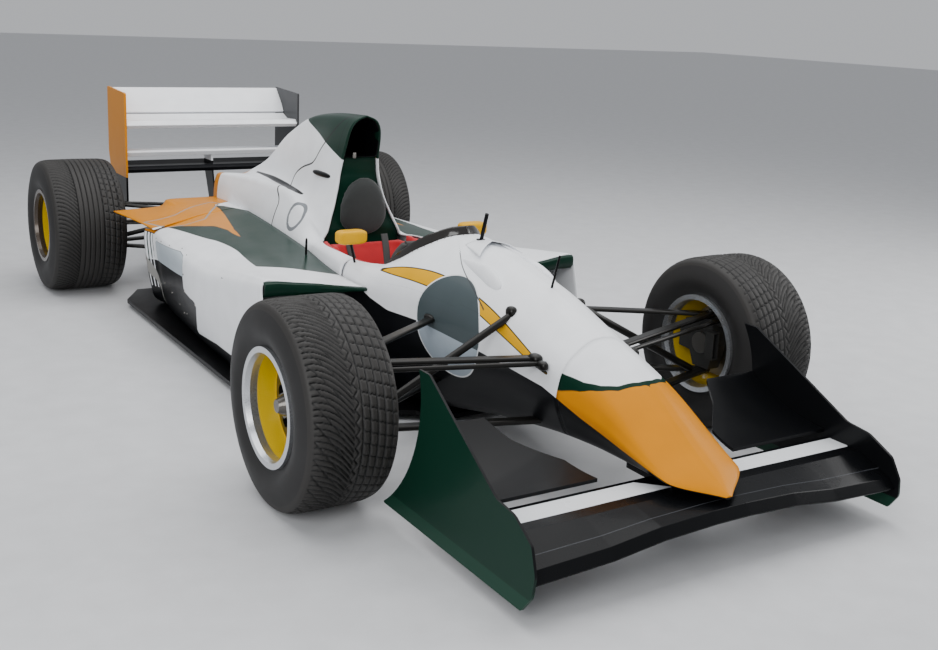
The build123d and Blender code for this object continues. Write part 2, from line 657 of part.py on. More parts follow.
def make_rear_wing():
    """Two-element upper wing, two-element beam wing, endplates and the centre post."""
    inner = REAR_WING_HALF - REAR_PLATE - REST_GAP
    elements = {
        "main": [(176, 806), (196, 788), (330, 800), (384, 842), (380, 848), (318, 824), (200, 828)],
        "flap": [(376, 858), (392, 850), (486, 962), (494, 984), (484, 984), (404, 900)],
        "beam_upper": [(200, 660), (214, 636), (300, 628), (362, 652), (360, 660), (300, 650), (216, 668)],
        "beam_lower": [(202, 566), (218, 546), (330, 556), (372, 590), (368, 596), (320, 578), (220, 582)],
    }
    pieces = {}
    for name, points in elements.items():
        profile = rounded([(rear_at(y), z) for y, z in points], 3)
        pieces[name] = extrude(side_plane(-inner) * profile, 2 * inner)
    outline = [(170, 384), (176, 976), (REAR_OVERHANG, 990), (REAR_OVERHANG, 640), (470, 560), (300, 384)]
    points = [(rear_at(y), z) for y, z in outline]
    plate_face = rounded(points, [20, 8, 8, 30, 60, 60])
    plate = extrude(side_plane(REAR_WING_HALF - REAR_PLATE) * plate_face, REAR_PLATE)
    post_side = [(170, 330), (236, 300), (350, 560), (350, 632), (236, 632), (226, 560)]
    post_points = [(rear_at(y), z) for y, z in post_side]
    post = extrude(side_plane(-5) * make_face(Polyline(*post_points, close=True)), 10)
    post -= pieces["beam_upper"] + pieces["beam_lower"] + crash
    return pieces, plate, post


# Cockpit
COLUMN_TILT = 17.0
WHEEL_STATION = 830.0
WHEEL_Z = 500.0
COLUMN_RADIUS = 11.0
COLUMN_LENGTH = 330.0
WHEEL_RADIUS = 128.0
GRIP_RADIUS = 13.0
BULKHEAD_TOP = 846.0
INTAKE_FLOOR = 852.0


def column_frame():
    """A frame at the steering wheel's centre with local z along the column, to the driver."""
    return Pos(0, at(WHEEL_STATION), WHEEL_Z) * Rot(COLUMN_TILT - 90, 0, 0)


def make_steering_wheel():
    """A small flat-bottomed racing wheel with its boss, spokes and column shaft."""
    grip = Plane.XZ * Pos(WHEEL_RADIUS, 0) * RegularPolygon(GRIP_RADIUS, 10)
    ring = revolve(grip, Axis.Z, 360)
    ring -= Pos(0, -WHEEL_RADIUS, 0) * Box(400, 60, 60)
    bottom = Pos(0, -WHEEL_RADIUS + 32, 0) * Rot(0, 90, 0) * Cylinder(11, 2 * 84)
    spokes = Pos(0, 6, 0) * Box(2 * WHEEL_RADIUS - 20, 40, 8) + Cylinder(42, 20)
    shaft = Pos(0, 0, -COLUMN_LENGTH / 2) * Cylinder(COLUMN_RADIUS, COLUMN_LENGTH)
    return column_frame() * (ring + bottom + spokes + shaft)


def make_dashboard():
    """The dash bulkhead that carries the column, fitted to the tub's inside."""
    plate = column_frame() * Pos(0, 0, -92) * Box(620, 300, 12)
    plate -= column_frame() * Pos(0, 0, -100) * Cylinder(COLUMN_RADIUS + RUNNING_CLEARANCE, 200)
    legs = column_frame() * Pos(0, -150, -92) * Box(250, 260, 80)
    return (plate - legs) & hull(TUB_ROWS[1:7], TUB_WALL + REST_GAP)


def make_seat():
    """A deep bucket seat with raised sides."""
    outer = [
        (845, 0), (1065, 0), (1135, 40), (1311, 400), (1311, 448), (1235, 448), (1055, 250), (845, 150),
    ]
    inner = [(825, 40), (1045, 40), (1110, 75), (1281, 420), (1281, 600), (1005, 600), (825, 400)]
    floor_z = SEAT_Z + TUB_WALL + REST_GAP
    shell = extrude(side_plane(-178) * rounded([(at(y), floor_z + z) for y, z in outer], 10), 356)
    hollow = extrude(side_plane(-150) * rounded([(at(y), floor_z + z) for y, z in inner], 10), 300)
    return shell - hollow


PADDING_Z = 446.0
PADDING_HEIGHT = 76.0


def make_padding():
    """The trim pads along both sides of the cockpit opening."""
    rim = [(206, 800), (238, 890), (238, 1150), (206, 1290)]
    inner = [(x - 26, y) for x, y in reversed(rim)]
    points = [(x - REST_GAP, at(y)) for x, y in rim] + [(x, at(y)) for x, y in inner]
    pad = extrude(Pos(0, 0, PADDING_Z) * make_face(Polyline(*points, close=True)), PADDING_HEIGHT)
    return pad


def make_hoop():
    """The panel behind the driver's head, which closes the cover below the air intake."""
    row = interpolate(COVER_ROWS, HOOP_STATION + 3)
    face = hull_section((HOOP_STATION + 3,) + row, SKIN + 1.0)
    panel = extrude(face, 14, dir=(0, 1, 0))
    panel &= block(-400, 400, at(HOOP_STATION), at(HOOP_STATION) + 60, COVER_SEAM_Z + 8, BULKHEAD_TOP)
    pad_half = [(96, 520), (112, 606), (82, 700), (44, 774)]
    pad_points = pad_half + [(-x, z) for x, z in reversed(pad_half)]
    pad = extrude(cross_plane(at(HOOP_STATION + 3) - REST_GAP) * rounded(pad_points, 24), 48)
    return panel, pad


def make_airbox():
    """The arched intake duct behind the hoop's opening."""
    start = HOOP_STATION + 3
    end = HOOP_STATION + 230
    rows = [(start,) + interpolate(COVER_ROWS, start), (end,) + interpolate(COVER_ROWS, end)]
    longer = [(start - 1,) + rows[0][1:], (end + 1,) + rows[1][1:]]
    solid = hull(rows, SKIN + 1.0)
    duct = solid - hull(longer, SKIN + 5.0)
    above = block(-300, 300, at(start) - 10, at(end) + 10, INTAKE_FLOOR, 1100)
    shelf = block(-300, 300, at(start) - 10, at(end) + 10, INTAKE_FLOOR - 5, INTAKE_FLOOR)
    return (duct & above) + (solid & shelf)


def make_mirror():
    """The left mirror: a rounded pod on a thin stalk."""
    body = Pos(275, at(890), 614) * Box(128, 64, 66)
    body = fillet(body.edges(), 20)
    foot = (250, at(892), 486)
    stalk = tube((276, at(890), 590), foot, 5)
    return body + (stalk - cover_outer - tub_outer)


def make_aerials():
    """The radio antenna and the pitot tube on the scuttle."""
    antenna = tube((0, at(424), 600), (0, at(371), 780), 7)
    antenna += Pos(0, at(404), 670) * Cylinder(16, 24)
    pitot = tube((0, at(-24), 560), (0, at(-69), 717), 4)
    return [(antenna - tub_outer), pitot - tub_outer]


PARTS = {}


def keep(name, *pieces):
    """Store a node as one or more solids."""
    solids = []
    for piece in pieces:
        for item in piece if isinstance(piece, (list, tuple)) else [piece]:
            solids += item.solids()
    PARTS[name] = Compound(children=solids)


tub, tub_outer = make_tub()
cover, cover_outer = make_cover()
nose = hull(NOSE_ROWS)
screen = make_screen()
engine, gearbox = make_drivetrain()
crash, rain_light = make_rear_structure()

keep("monocoque", tub)
keep("nose_cone", nose)
keep("engine_cover", cover - tub_outer)
keep("windscreen", screen)

main_plane, flap, wing_plate = make_front_wing()
pylon = block(64, 76, at(-800), at(-560), 180, 230) - nose - main_plane
keep("front_wing", main_plane, both_sides(pylon))
keep("front_flaps", both_sides(flap - main_plane))
keep("front_endplates", both_sides(wing_plate))

pod = make_sidepod()
keep("sidepod_left", pod)
keep("sidepod_right", mirror(pod, Plane.YZ))
keep("radiators", both_sides(make_radiator() - tub_outer - cover_outer))
keep("floor", make_floor())
keep("diffuser", make_diffuser())
keep("engine", engine)
keep("gearbox", gearbox)
keep("exhausts", both_sides(make_exhaust() - gearbox - engine))
keep("rear_structure", crash)
keep("rain_light", rain_light)

upper, lower, pushrod = make_front_suspension()
keep("front_upper_wishbones", both_sides(upper))
keep("front_lower_wishbones", both_sides(lower))
keep("front_pushrods", both_sides(pushrod))
rear_upper, rear_lower, toe, strut, rear_upright = make_rear_suspension()
keep("rear_wishbones", both_sides(rear_upper), both_sides(rear_lower))
keep("rear_links", both_sides(toe), both_sides(strut))
keep("rear_uprights", both_sides(rear_upright))
keep("steering_rack", make_rack())

knuckle = Pos(0, at(0), FRONT_TYRE_RADIUS) * make_knuckle()
keep("knuckle_left", knuckle)
keep("knuckle_right", mirror(knuckle, Plane.YZ))

WHEELS = [
    # name, tyre radius, width, wheel x, axle y, lip inset, centre x, disc x, hub start, hub end
    ("front", FRONT_TYRE_RADIUS, FRONT_TYRE_WIDTH, FRONT_WHEEL_X, at(0), FRONT_LIP_INSET,
     FRONT_CENTRE_X, FRONT_DISC_X, UPRIGHT_INNER_X - 14, FRONT_CENTRE_X + 30),
    ("rear", REAR_TYRE_RADIUS, REAR_TYRE_WIDTH, REAR_WHEEL_X, at(WHEELBASE), REAR_LIP_INSET,
     REAR_CENTRE_X, REAR_DISC_X, REAR_UPRIGHT_INNER_X - 14, REAR_CENTRE_X + 30),
]
for end, radius, width, wheel_x, axle_y, inset, centre_x, disc_x, hub_start, hub_end in WHEELS:
    centre = Pos(wheel_x, axle_y, radius)
    tyre = centre * make_tyre(radius, width)
    rim = centre * (make_rim(width, inset, centre_x - wheel_x, HUB_SHAFT)
                    + make_nut(centre_x - wheel_x + 14, HUB_SHAFT))
    hub = Pos(0, axle_y, radius) * make_hub(hub_start, disc_x, hub_end)
    if end == "rear":
        shaft_end = 125 + MOVING_GAP
        middle = Pos((hub_start + shaft_end) / 2, axle_y, radius)
        hub += middle * Rot(0, 90, 0) * Cylinder(DRIVESHAFT_RADIUS, hub_start - shaft_end)
        for x in (hub_start - 40, shaft_end + 26):
            hub += Pos(x, axle_y, radius) * Rot(0, 90, 0) * Cylinder(38, 50)
    hub -= rim
    for side, piece in (("left", tyre), ("right", mirror(tyre, Plane.YZ))):
        keep(f"tyre_{end}_{side}", piece)
    for side, piece in (("left", rim), ("right", mirror(rim, Plane.YZ))):
        keep(f"rim_{end}_{side}", piece)
    for side, piece in (("left", hub), ("right", mirror(hub, Plane.YZ))):
        keep(f"hub_{end}_{side}", piece)

wing, rear_plate, post = make_rear_wing()
keep("rear_wing", wing["main"], wing["flap"])
keep("beam_wing", wing["beam_upper"], wing["beam_lower"], post)
keep("rear_endplates", both_sides(rear_plate))

keep("steering_wheel", make_steering_wheel())
keep("dashboard", make_dashboard())
keep("seat", make_seat())
keep("cockpit_padding", both_sides(make_padding() - cover - tub))
panel, headrest = make_hoop()
keep("hoop_panel", panel)
keep("headrest", headrest)
keep("airbox", make_airbox())
keep("mirrors", both_sides(make_mirror()))
keep("aerials", make_aerials())

for name, part in PARTS.items():
    export_step(part, f"parts/{name}.step")
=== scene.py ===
# %% [markdown]
# # An open wheel racing car, dressed for the studio
# The CAD frame holds the car's real sizes. This lesson adds what paint, rubber, cloth and
# carbon look like, and swaps the faceted body panels for smooth ones. Everything is in
# metres: the nose points to -Y, the car's left is +X and the ground is at z = 0.

# %% Load the frame
import json
import math

import bmesh
import bpy
import numpy as np
from mathutils import Matrix


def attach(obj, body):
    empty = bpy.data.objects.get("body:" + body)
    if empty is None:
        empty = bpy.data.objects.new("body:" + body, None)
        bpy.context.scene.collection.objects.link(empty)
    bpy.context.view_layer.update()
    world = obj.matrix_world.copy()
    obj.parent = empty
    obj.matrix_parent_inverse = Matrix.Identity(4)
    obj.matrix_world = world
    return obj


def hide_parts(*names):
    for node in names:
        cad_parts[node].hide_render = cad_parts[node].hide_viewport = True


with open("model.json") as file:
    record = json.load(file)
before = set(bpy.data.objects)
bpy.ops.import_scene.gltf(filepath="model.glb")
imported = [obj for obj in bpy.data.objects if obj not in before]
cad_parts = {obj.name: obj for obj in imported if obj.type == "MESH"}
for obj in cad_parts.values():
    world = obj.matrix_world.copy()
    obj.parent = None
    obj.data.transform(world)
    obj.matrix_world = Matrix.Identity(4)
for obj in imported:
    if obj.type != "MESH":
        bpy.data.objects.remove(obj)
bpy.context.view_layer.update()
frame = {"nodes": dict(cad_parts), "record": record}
CAD = frame["nodes"]
MM = 0.001
FRONT_AXLE = -1.25
print("nodes", len(CAD))


# %% [markdown]
# ## The camera
# The photograph was taken from the car's right front, a little above it. The place, the
# turn and the focal length were worked out from the wheels and the rear wing, whose real
# sizes are known, so the camera is given by its own three directions. It could be placed by
# eye instead, but then nothing else in the scene could be compared with the photograph.

# %% Camera
CAMERA_PLACE = (-2.2195, -2.9708 + FRONT_AXLE, 1.4738)
CAMERA_YAW = -0.5654
CAMERA_PITCH = -0.2400
CAMERA_ROLL = 0.0464
FOCAL_PIXELS = 1142.76
PHOTO_WIDTH = 938
SENSOR_MM = 36.0
CENTRE_SHIFT = (9.07, -33.64)
FARTHEST_SEEN = 60.0


def link(name, data):
    """A new object that holds the data, linked to the scene."""
    item = bpy.data.objects.new(name, data)
    bpy.context.collection.objects.link(item)
    return item


def stand(item, right, up, back, place):
    """Sets an object's matrix, whose columns are three directions and a place."""
    matrix = np.eye(4)
    matrix[:3] = np.stack([right, up, back, place], axis=1)
    item.matrix_world = Matrix(matrix.tolist())


def make_camera():
    """Camera whose directions right, up and backwards come from its yaw, pitch and roll."""
    yaw, pitch, roll = CAMERA_YAW, CAMERA_PITCH, CAMERA_ROLL
    ahead = np.array([-math.sin(yaw) * math.cos(pitch), math.cos(yaw) * math.cos(pitch), math.sin(pitch)])
    right = np.cross(ahead, [0, 0, 1])
    right /= np.linalg.norm(right)
    up = np.cross(right, ahead)
    turned_right = math.cos(roll) * right + math.sin(roll) * up
    turned_up = math.cos(roll) * up - math.sin(roll) * right
    data = bpy.data.cameras.new("studio_camera")
    data.sensor_width = SENSOR_MM
    data.lens = FOCAL_PIXELS / PHOTO_WIDTH * SENSOR_MM
    data.shift_x = CENTRE_SHIFT[0] / PHOTO_WIDTH
    data.shift_y = CENTRE_SHIFT[1] / PHOTO_WIDTH
    data.clip_end = FARTHEST_SEEN
    camera = link("studio_camera", data)
    stand(camera, turned_right, turned_up, -ahead, CAMERA_PLACE)
    bpy.context.scene.camera = camera


make_camera()
print("lens", round(bpy.context.scene.camera.data.lens, 2), "mm")


# %% [markdown]
# ## Helpers for materials
# Paint, rubber and metal differ in colour, in roughness and in how much they mirror. Each
# could be set by hand in the node editor; written out, they can be read and compared.
# Colours are given as they look on screen, in sRGB hex, and turned to linear light. One
# function adds a shader node with its settings and links, and every material uses it.

# %% Material helpers
def linear(code):
    """sRGB hex code to linear RGBA: divide by 12.92 below 0.04045, else the 2.4 power curve."""
    parts = [int(code[i:i + 2], 16) / 255 for i in (0, 2, 4)]
    return [c / 12.92 if c <= 0.04045 else ((c + 0.055) / 1.055) ** 2.4 for c in parts] + [1.0]


def add(tree, kind, inputs=None, **settings):
    """Adds one shader node with settings and inputs, and returns its outputs."""
    made = tree.nodes.new("ShaderNode" + kind)
    for name, value in settings.items():
        setattr(made, name, value)
    for key, value in (inputs or {}).items():
        if isinstance(value, bpy.types.NodeSocket):
            tree.links.new(value, made.inputs[key])
        else:
            made.inputs[key].default_value = value
    return made.outputs


def start(name):
    """A new node material, its empty tree, and the place on the object in metres."""
    material = bpy.data.materials.new(name)
    material.use_nodes = True
    tree = material.node_tree
    tree.nodes.clear()
    return material, tree, add(tree, "TexCoord")["Object"]


def close(tree, inputs):
    """Ends a material with one Principled shader."""
    shader = add(tree, "BsdfPrincipled", inputs)
    add(tree, "OutputMaterial", {"Surface": shader[0]})


print("half grey on screen is", round(linear("808080")[0], 3), "in linear light")


# %% A plain finish
SOFT_EDGE = 0.5


def plain(name, code, roughness, metallic=0.0, coat=0.0, grain=900.0, bump=0.02, layers=(), extra=None):
    """A finish of one colour with a little mottling and a fine surface grain, so many to the metre.

    Each layer (field, edge, colour) covers what is below it where the piece's own attribute
    of that name is above the edge, in millimetres. A field whose name ends in _line changes
    sign across the line, and its paint covers both sides of it as far as -edge."""
    material, tree, place = start(name)
    # 9 clouds to the metre, each about 110 mm across
    cloud = add(tree, "TexNoise", {"Vector": place, "Scale": 9.0, "Detail": 4.0})
    shade = add(tree, "MapRange", {"Value": cloud[0], "To Min": 0.9, "To Max": 1.1})
    colour = linear(code)
    for field, edge, over in layers:
        value = add(tree, "Attribute", attribute_name=field)["Fac"]
        if field.endswith("_line"):
            value = add(tree, "Math", {0: value}, operation="ABSOLUTE")[0]
            value = add(tree, "Math", {0: 0.0, 1: value}, operation="SUBTRACT")[0]
        mask = add(tree, "MapRange", {"Value": value, "From Min": edge - SOFT_EDGE,
                                      "From Max": edge + SOFT_EDGE})
        colour = add(tree, "MixRGB", {"Fac": mask[0], "Color1": colour, "Color2": linear(over)})[0]
    tint = add(tree, "MixRGB", {"Fac": 1.0, "Color1": colour, "Color2": shade[0]}, blend_type="MULTIPLY")
    rough = add(tree, "MapRange", {"Value": cloud[0], "To Min": roughness * 0.85,
                                   "To Max": roughness * 1.2})
    fine = add(tree, "TexNoise", {"Vector": place, "Scale": grain, "Detail": 2.0})
    bumped = add(tree, "Bump", {"Height": fine[0], "Strength": bump, "Distance": 0.001})
    inputs = {"Base Color": tint[0], "Roughness": rough[0], "Metallic": metallic, "Normal": bumped[0],
              "Coat Weight": coat, "Coat Roughness": 0.04}
    inputs.update(extra or {})
    close(tree, inputs)
    return material


# %% Woven carbon
def woven(name, dark, light):
    """Carbon cloth under clear resin: a check of two tones, the darker one smoother, so that a
    sheen breaks up over it instead of lying flat. 250 squares to the metre are 4 mm each,
    twice the real tow's width, because a finer check wouldn't show."""
    material, tree, place = start(name)
    # Turned off every axis, so that no flat face lies along one layer of squares
    turned = add(tree, "Mapping", {"Vector": place, "Rotation": (0.3, 0.4, 0.785)})[0]
    check = add(tree, "TexChecker", {"Vector": turned, "Scale": 250.0, "Color1": linear(dark),
                                     "Color2": linear(light)})
    rough = add(tree, "MapRange", {"Value": check[1], "To Min": 0.32, "To Max": 0.5})
    bumped = add(tree, "Bump", {"Height": check[1], "Strength": 0.15, "Distance": 0.0003})
    close(tree, {"Base Color": check[0], "Roughness": rough[0], "Normal": bumped[0], "Coat Weight": 0.1,
                 "Coat Roughness": 0.1})
    return material


# %% The finish of each slot
WHITE = "F0F2F5"
GREEN = "0B2B20"
YELLOW = "CC8000"
LEMON = "DBA300"
BLACK = "0E0F12"
EDGE = "26261F"


def dull(level):
    """Inputs for a paint that is less shiny than bare plastic, which has level 0.5: a large pale
    studio would wash out its deep colour."""
    return {"Specular IOR Level": level}


FINISH = {
    # Two-pack enamel on carbon or glass fibre, sprayed and flatted: an even, soft shine
    "white_paint": plain("white_enamel", WHITE, 0.3, coat=0.05, extra=dull(0.2)),
    "green_paint": plain("dark_green_enamel", GREEN, 0.3, coat=0.03, extra=dull(0.15)),
    "yellow_paint": plain("yellow_enamel", YELLOW, 0.35, extra=dull(0.08)),
    # Clear-coated black: deep, with thin highlights along its edges
    "black_lacquer": plain("black_lacquer", "0A0B0D", 0.3, coat=0.03, extra=dull(0.12)),
    # Woven and cured carbon cloth: a fine check that breaks up the sheen
    "carbon_weave": woven("carbon_weave", "101114", "1E2025"),
    # Moulded soft rubber: dark, dry and without a clear highlight
    "tyre_rubber": plain("wet_tyre_rubber", "232324", 0.75),
    # Stove enamel on cast magnesium: bright under a clear coat
    "rim_yellow": plain("rim_yellow_enamel", "E3C21A", 0.3, coat=0.5),
    # Turned and ground steel: a blurred mirror
    "hub_steel": plain("turned_steel", "8A8782", 0.4, metallic=1.0),
    # Sand-cast magnesium with a chromate skin: dark grey, half metal, half oxide
    "upright_magnesium": plain("cast_magnesium", "3A3A39", 0.55, metallic=0.6),
    # Aerofoil steel tube under thin black stoving enamel: a long narrow glint
    "suspension_steel": plain("black_enamelled_steel", "1B1A18", 0.32, metallic=0.5),
    # Cast and blasted aluminium: grey and silky
    "casing_alloy": plain("cast_alloy", "6E6E6E", 0.5, metallic=0.8),
    # Flame-proof cloth and the skin of moulded foam: no shine at all
    "seat_fabric": plain("red_seat_cloth", "B01322", 0.85),
    "headrest_foam": plain("grey_foam_skin", "3D3D3C", 0.8),
    # Bent acrylic sheet, tinted almost black: smooth and sharp in its highlights
    "smoked_screen": plain("smoked_acrylic", "211E1C", 0.12, coat=0.1),
    # Steel tube browned by heat
    "exhaust_steel": plain("heated_steel", "6A5A50", 0.45, metallic=0.9),
    # Moulded red plastic over a lamp: deep colour under a glossy skin
    "red_lens": plain("red_lens", "8F1010", 0.15, coat=0.6),
    # Pressed wood and resin sheet, sealed and scuffed: nearly black, faintly shiny
    "floor_composite": plain("floor_composite", "09090B", 0.35, extra=dull(0.2)),
}


# %% Give each CAD node its finish
def dress(item, material):
    """Gives an object one material in place of any that it has."""
    item.data.materials.clear()
    item.data.materials.append(material)


for part in frame["record"]["subparts"]:
    if part["node"] in CAD:
        dress(CAD[part["node"]], FINISH[part["material_slot"]])
print("finishes", len(FINISH))


# %% [markdown]
# ## Surfaces from a few cross-sections
# A racing car's shell is drawn as sections across the car, and a skin that flows through
# them. A box could be pushed and pulled into that shape, but a table keeps every size in
# sight. Each section here is a short list of corner points. The corners are rounded, all
# sections are sampled alike, and a smooth curve through each point along the car gives the
# skin. Sizes in the tables are millimetres, and y is measured from the front axle.

# %% Section and surface helpers
def flow(stations, rows, y):
    """Smooth monotone curve through rows (stations, columns, values), read at y (steps, columns).

    Between two stations it is a cubic whose slopes are the weighted harmonic mean of the
    slopes on each side, or zero where those differ in sign, so it never overshoots."""
    stations, rows, y = np.asarray(stations, float), np.asarray(rows, float), np.asarray(y, float)
    gap = np.diff(stations)[:, None, None]
    slope = np.diff(rows, axis=0) / gap
    same = slope[:-1] * slope[1:] > 0
    before, after = np.where(same, slope[:-1], 1.0), np.where(same, slope[1:], 1.0)
    heavy, light = 2 * gap[1:] + gap[:-1], gap[1:] + 2 * gap[:-1]
    middle = np.where(same, (heavy + light) / (heavy / before + light / after), 0.0)
    tangent = np.concatenate([slope[:1], middle, slope[-1:]])
    low = np.clip(np.searchsorted(stations, y) - 1, 0, len(stations) - 2)
    column = np.arange(rows.shape[1])[None, :]
    width = (stations[low + 1] - stations[low])[..., None]
    t = (y - stations[low])[..., None] / width
    start_slope, end_slope = tangent[low, column] * width, tangent[low + 1, column] * width
    return ((2 * t**3 - 3 * t**2 + 1) * rows[low, column] + (t**3 - 2 * t**2 + t) * start_slope
            + (3 * t**2 - 2 * t**3) * rows[low + 1, column] + (t**3 - t**2) * end_slope)


def bend(corners, cuts, arc=6, run=4):
    """Rounds the inner corners of many polylines (sections, corners, 2) at once.

    A corner's arc leaves one edge and joins the next at the given share of each, and is the
    quadratic (1-t)^2 a + 2t(1-t) corner + t^2 b. Straight runs get evenly spaced points."""
    corners = np.asarray(corners, float)
    t = np.linspace(0, 1, arc)[None, 1:, None]
    s = np.linspace(0, 1, run + 1)[None, 1:, None]
    last = corners[:, :1]
    pieces = [last]
    for number, cut in enumerate(cuts, start=1):
        corner = corners[:, number:number + 1]
        a = corner + (corners[:, number - 1:number] - corner) * cut
        b = corner + (corners[:, number + 1:number + 2] - corner) * cut
        pieces += [last + (a - last) * s, (1 - t)**2 * a + 2 * t * (1 - t) * corner + t**2 * b]
        last = b
    pieces.append(last + (corners[:, -1:] - last) * s)
    return np.concatenate(pieces, axis=1)


# %% Sections into points
def pairs(row):
    """A table row's columns after the station, as points."""
    return np.array(row[1:], float).reshape(-1, 2)


def hold(value, count):
    """A column of values repeated over count columns, as one row a station."""
    return np.repeat(np.asarray(value, float)[:, None], count, axis=1)


def along(y, points):
    """Points (x, y, z) from stations (steps, columns) and section points (steps, columns, 2)."""
    return np.stack([points[..., 0], y, points[..., 1]], axis=-1)


# %% Points into an object
WELD = 0.00015


def piece(name, grids, slot, paint=None, body="chassis", nodes=(), both=True, wall=None, sharp=32):
    """One object from grids of points (rows, columns, 3) in millimetres behind the front axle,
    in its slot's finish unless a paint of its own is given.

    Each grid becomes quads, with its mirror image if both is set; touching edges are
    welded, faces turned outwards, and a wall in millimetres is grown inwards."""
    points, quads, count = [], [], 0
    for grid in grids:
        for side in (1, -1) if both else (1,):
            index = count + np.arange(grid.shape[0] * grid.shape[1]).reshape(grid.shape[:2])
            quad = np.stack([index[:-1, :-1], index[1:, :-1], index[1:, 1:], index[:-1, 1:]], -1)
            quads.append(quad.reshape(-1, 4)[:, ::side])
            points.append(grid.reshape(-1, 3) * (side * MM, MM, MM))
            count += index.size
    points = np.concatenate(points) + (0, FRONT_AXLE, 0)
    mesh = bpy.data.meshes.new(name)
    mesh.from_pydata(points.tolist(), [], np.concatenate(quads).tolist())
    work = bmesh.new()
    work.from_mesh(mesh)
    bmesh.ops.remove_doubles(work, verts=work.verts, dist=WELD)
    bmesh.ops.dissolve_degenerate(work, edges=work.edges, dist=WELD / 3)
    bmesh.ops.recalc_face_normals(work, faces=work.faces)
    work.to_mesh(mesh)
    work.free()
    mesh.shade_smooth()
    mesh.set_sharp_from_angle(angle=math.radians(sharp))
    mesh.materials.append(paint or FINISH[slot])
    item = link(name, mesh)
    if wall:
        solid = item.modifiers.new("wall", "SOLIDIFY")
        solid.thickness = wall * MM
        solid.offset = -1
        solid.use_even_offset = True
    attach(item, body)
    if nodes:
        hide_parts(*nodes)
    print(name, len(mesh.polygons), "faces")
    return item


# %% [markdown]
# ## Paint whose edges follow the bodywork
# Racing colours are masked with tape, so their edges are sharp curves across many panels.
# An image could hold them, but here each vertex stores how many millimetres it lies inside
# a painted shape, and the paint changes where that number passes zero.

# %% Painted shapes
def soften(points, times=2):
    """Rounds an open line: each edge keeps only its points at 1/4 and 3/4, a few times over."""
    points = np.asarray(points, float)
    for _ in range(times):
        near = points[:-1] * 0.75 + points[1:] * 0.25
        far = points[:-1] * 0.25 + points[1:] * 0.75
        points = np.concatenate([points[:1], np.stack([near, far], 1).reshape(-1, 2), points[-1:]])
    return points


def side_of(u, v, points):
    """Distance from (u, v) to a line of points, the least to any of its segments. It is negative
    on the left: the sign is that of the cross product of the nearest segment and the way there."""
    points = np.asarray(points, float)
    step = np.diff(points, axis=0)
    from_start = np.stack([u, v], -1)[:, None, :] - points[None, :-1]
    share = np.clip((from_start * step).sum(-1) / (step**2).sum(-1), 0, 1)
    far = np.linalg.norm(from_start - share[..., None] * step, axis=-1)
    nearest = far.argmin(axis=1)
    way = from_start[np.arange(len(nearest)), nearest]
    cross = way[:, 0] * step[nearest, 1] - way[:, 1] * step[nearest, 0]
    return np.where(cross < 0, -1.0, 1.0) * far.min(axis=1)


def inside(u, v, points):
    """Distance to a closed outline, positive inside: a point is inside if a ray from it
    crosses the outline an odd number of times."""
    closed = np.vstack([points, points[:1]]).astype(float)
    a, b = closed[:-1], closed[1:]
    over = (a[:, 1] > v[:, None]) != (b[:, 1] > v[:, None])
    rise = np.where(over, b[:, 1] - a[:, 1], 1.0)
    cross = a[:, 0] + (v[:, None] - a[:, 1]) * (b[:, 0] - a[:, 0]) / rise
    odd = (over & (cross > u[:, None])).sum(axis=1) % 2 == 1
    return np.where(odd, 1.0, -1.0) * np.abs(side_of(u, v, closed))


# %% Fields that the paint reads
def places(item):
    """A piece's vertices as |x|, y behind the front axle and z, in millimetres."""
    flat = np.empty(len(item.data.vertices) * 3)
    item.data.vertices.foreach_get("co", flat)
    x, y, z = (flat.reshape(-1, 3) - (0, FRONT_AXLE, 0)).T / MM
    return np.abs(x), y, z


def wave(value, period):
    """Distance from the nearest multiple of the period."""
    return np.abs((value + period / 2) % period - period / 2)


def mark(item, **fields):
    """Stores each field, one number a vertex, as an attribute that the paint reads by name."""
    for name, values in fields.items():
        attribute = item.data.attributes.new(name, "FLOAT", "POINT")
        attribute.data.foreach_set("value", np.asarray(values, float))


def sections(rows, cuts, **counts):
    """A table's stations, and the rounded points of each row's section."""
    return [row[0] for row in rows], bend([pairs(row) for row in rows], cuts, **counts)


# %% [markdown]
# ## The nose and the tub
# The nose cone and the carbon tub share one flowing form, split by a fine joint. They could
# be two sculpted bodies; one skin cut in two keeps the joint smooth. The tub is open above
# the driver, so each section there stops at the opening's edge instead of at the car's
# middle, and close steps at the front of the opening keep its curve round.

# %% Sections of the nose and the tub
TUB_ROWS = [
    # station, then half width and height of: floor, side, shoulder, crown, centre
    (-906, 8, 202, 14, 206, 10, 209, 4, 212, 0, 212.5),
    (-792, 105, 212, 143, 234, 122, 250, 50, 270, 0, 272),
    (-501, 112, 205, 162, 300, 142, 385, 52, 438, 0, 442),
    (-320, 118, 193, 176, 322, 154, 432, 57, 503, 0, 508),
    (0, 140, 150, 204, 330, 184, 492, 68, 605, 0, 612),
    (490, 192, 57, 262, 330, 244, 536, 80, 678, 0, 684),
    (600, 204, 42, 276, 330, 262, 528, 124, 640, 0, 650),
    (680, 210, 42, 282, 330, 268, 522, 150, 584, 0, 594),
    (780, 218, 42, 288, 330, 276, 514, 176, 530, 0, 540),
    (935, 226, 42, 298, 330, 286, 512, 200, 524, 0, 530),
]
TUB_CUTS = (0.35, 0.3, 0.42, 0.5)
OPENING = [
    # station, half width of the driver's opening
    (490, 0), (496, 34), (510, 55), (535, 79), (570, 104), (605, 146), (640, 167), (680, 181), (765, 191),
    (830, 222), (890, 238), (935, 240), (1160, 240), (1280, 213), (1328, 191),
]
TUB_ARC = 11
TUB_RUN = 10
TUB_STEP = TUB_RUN + TUB_ARC - 1
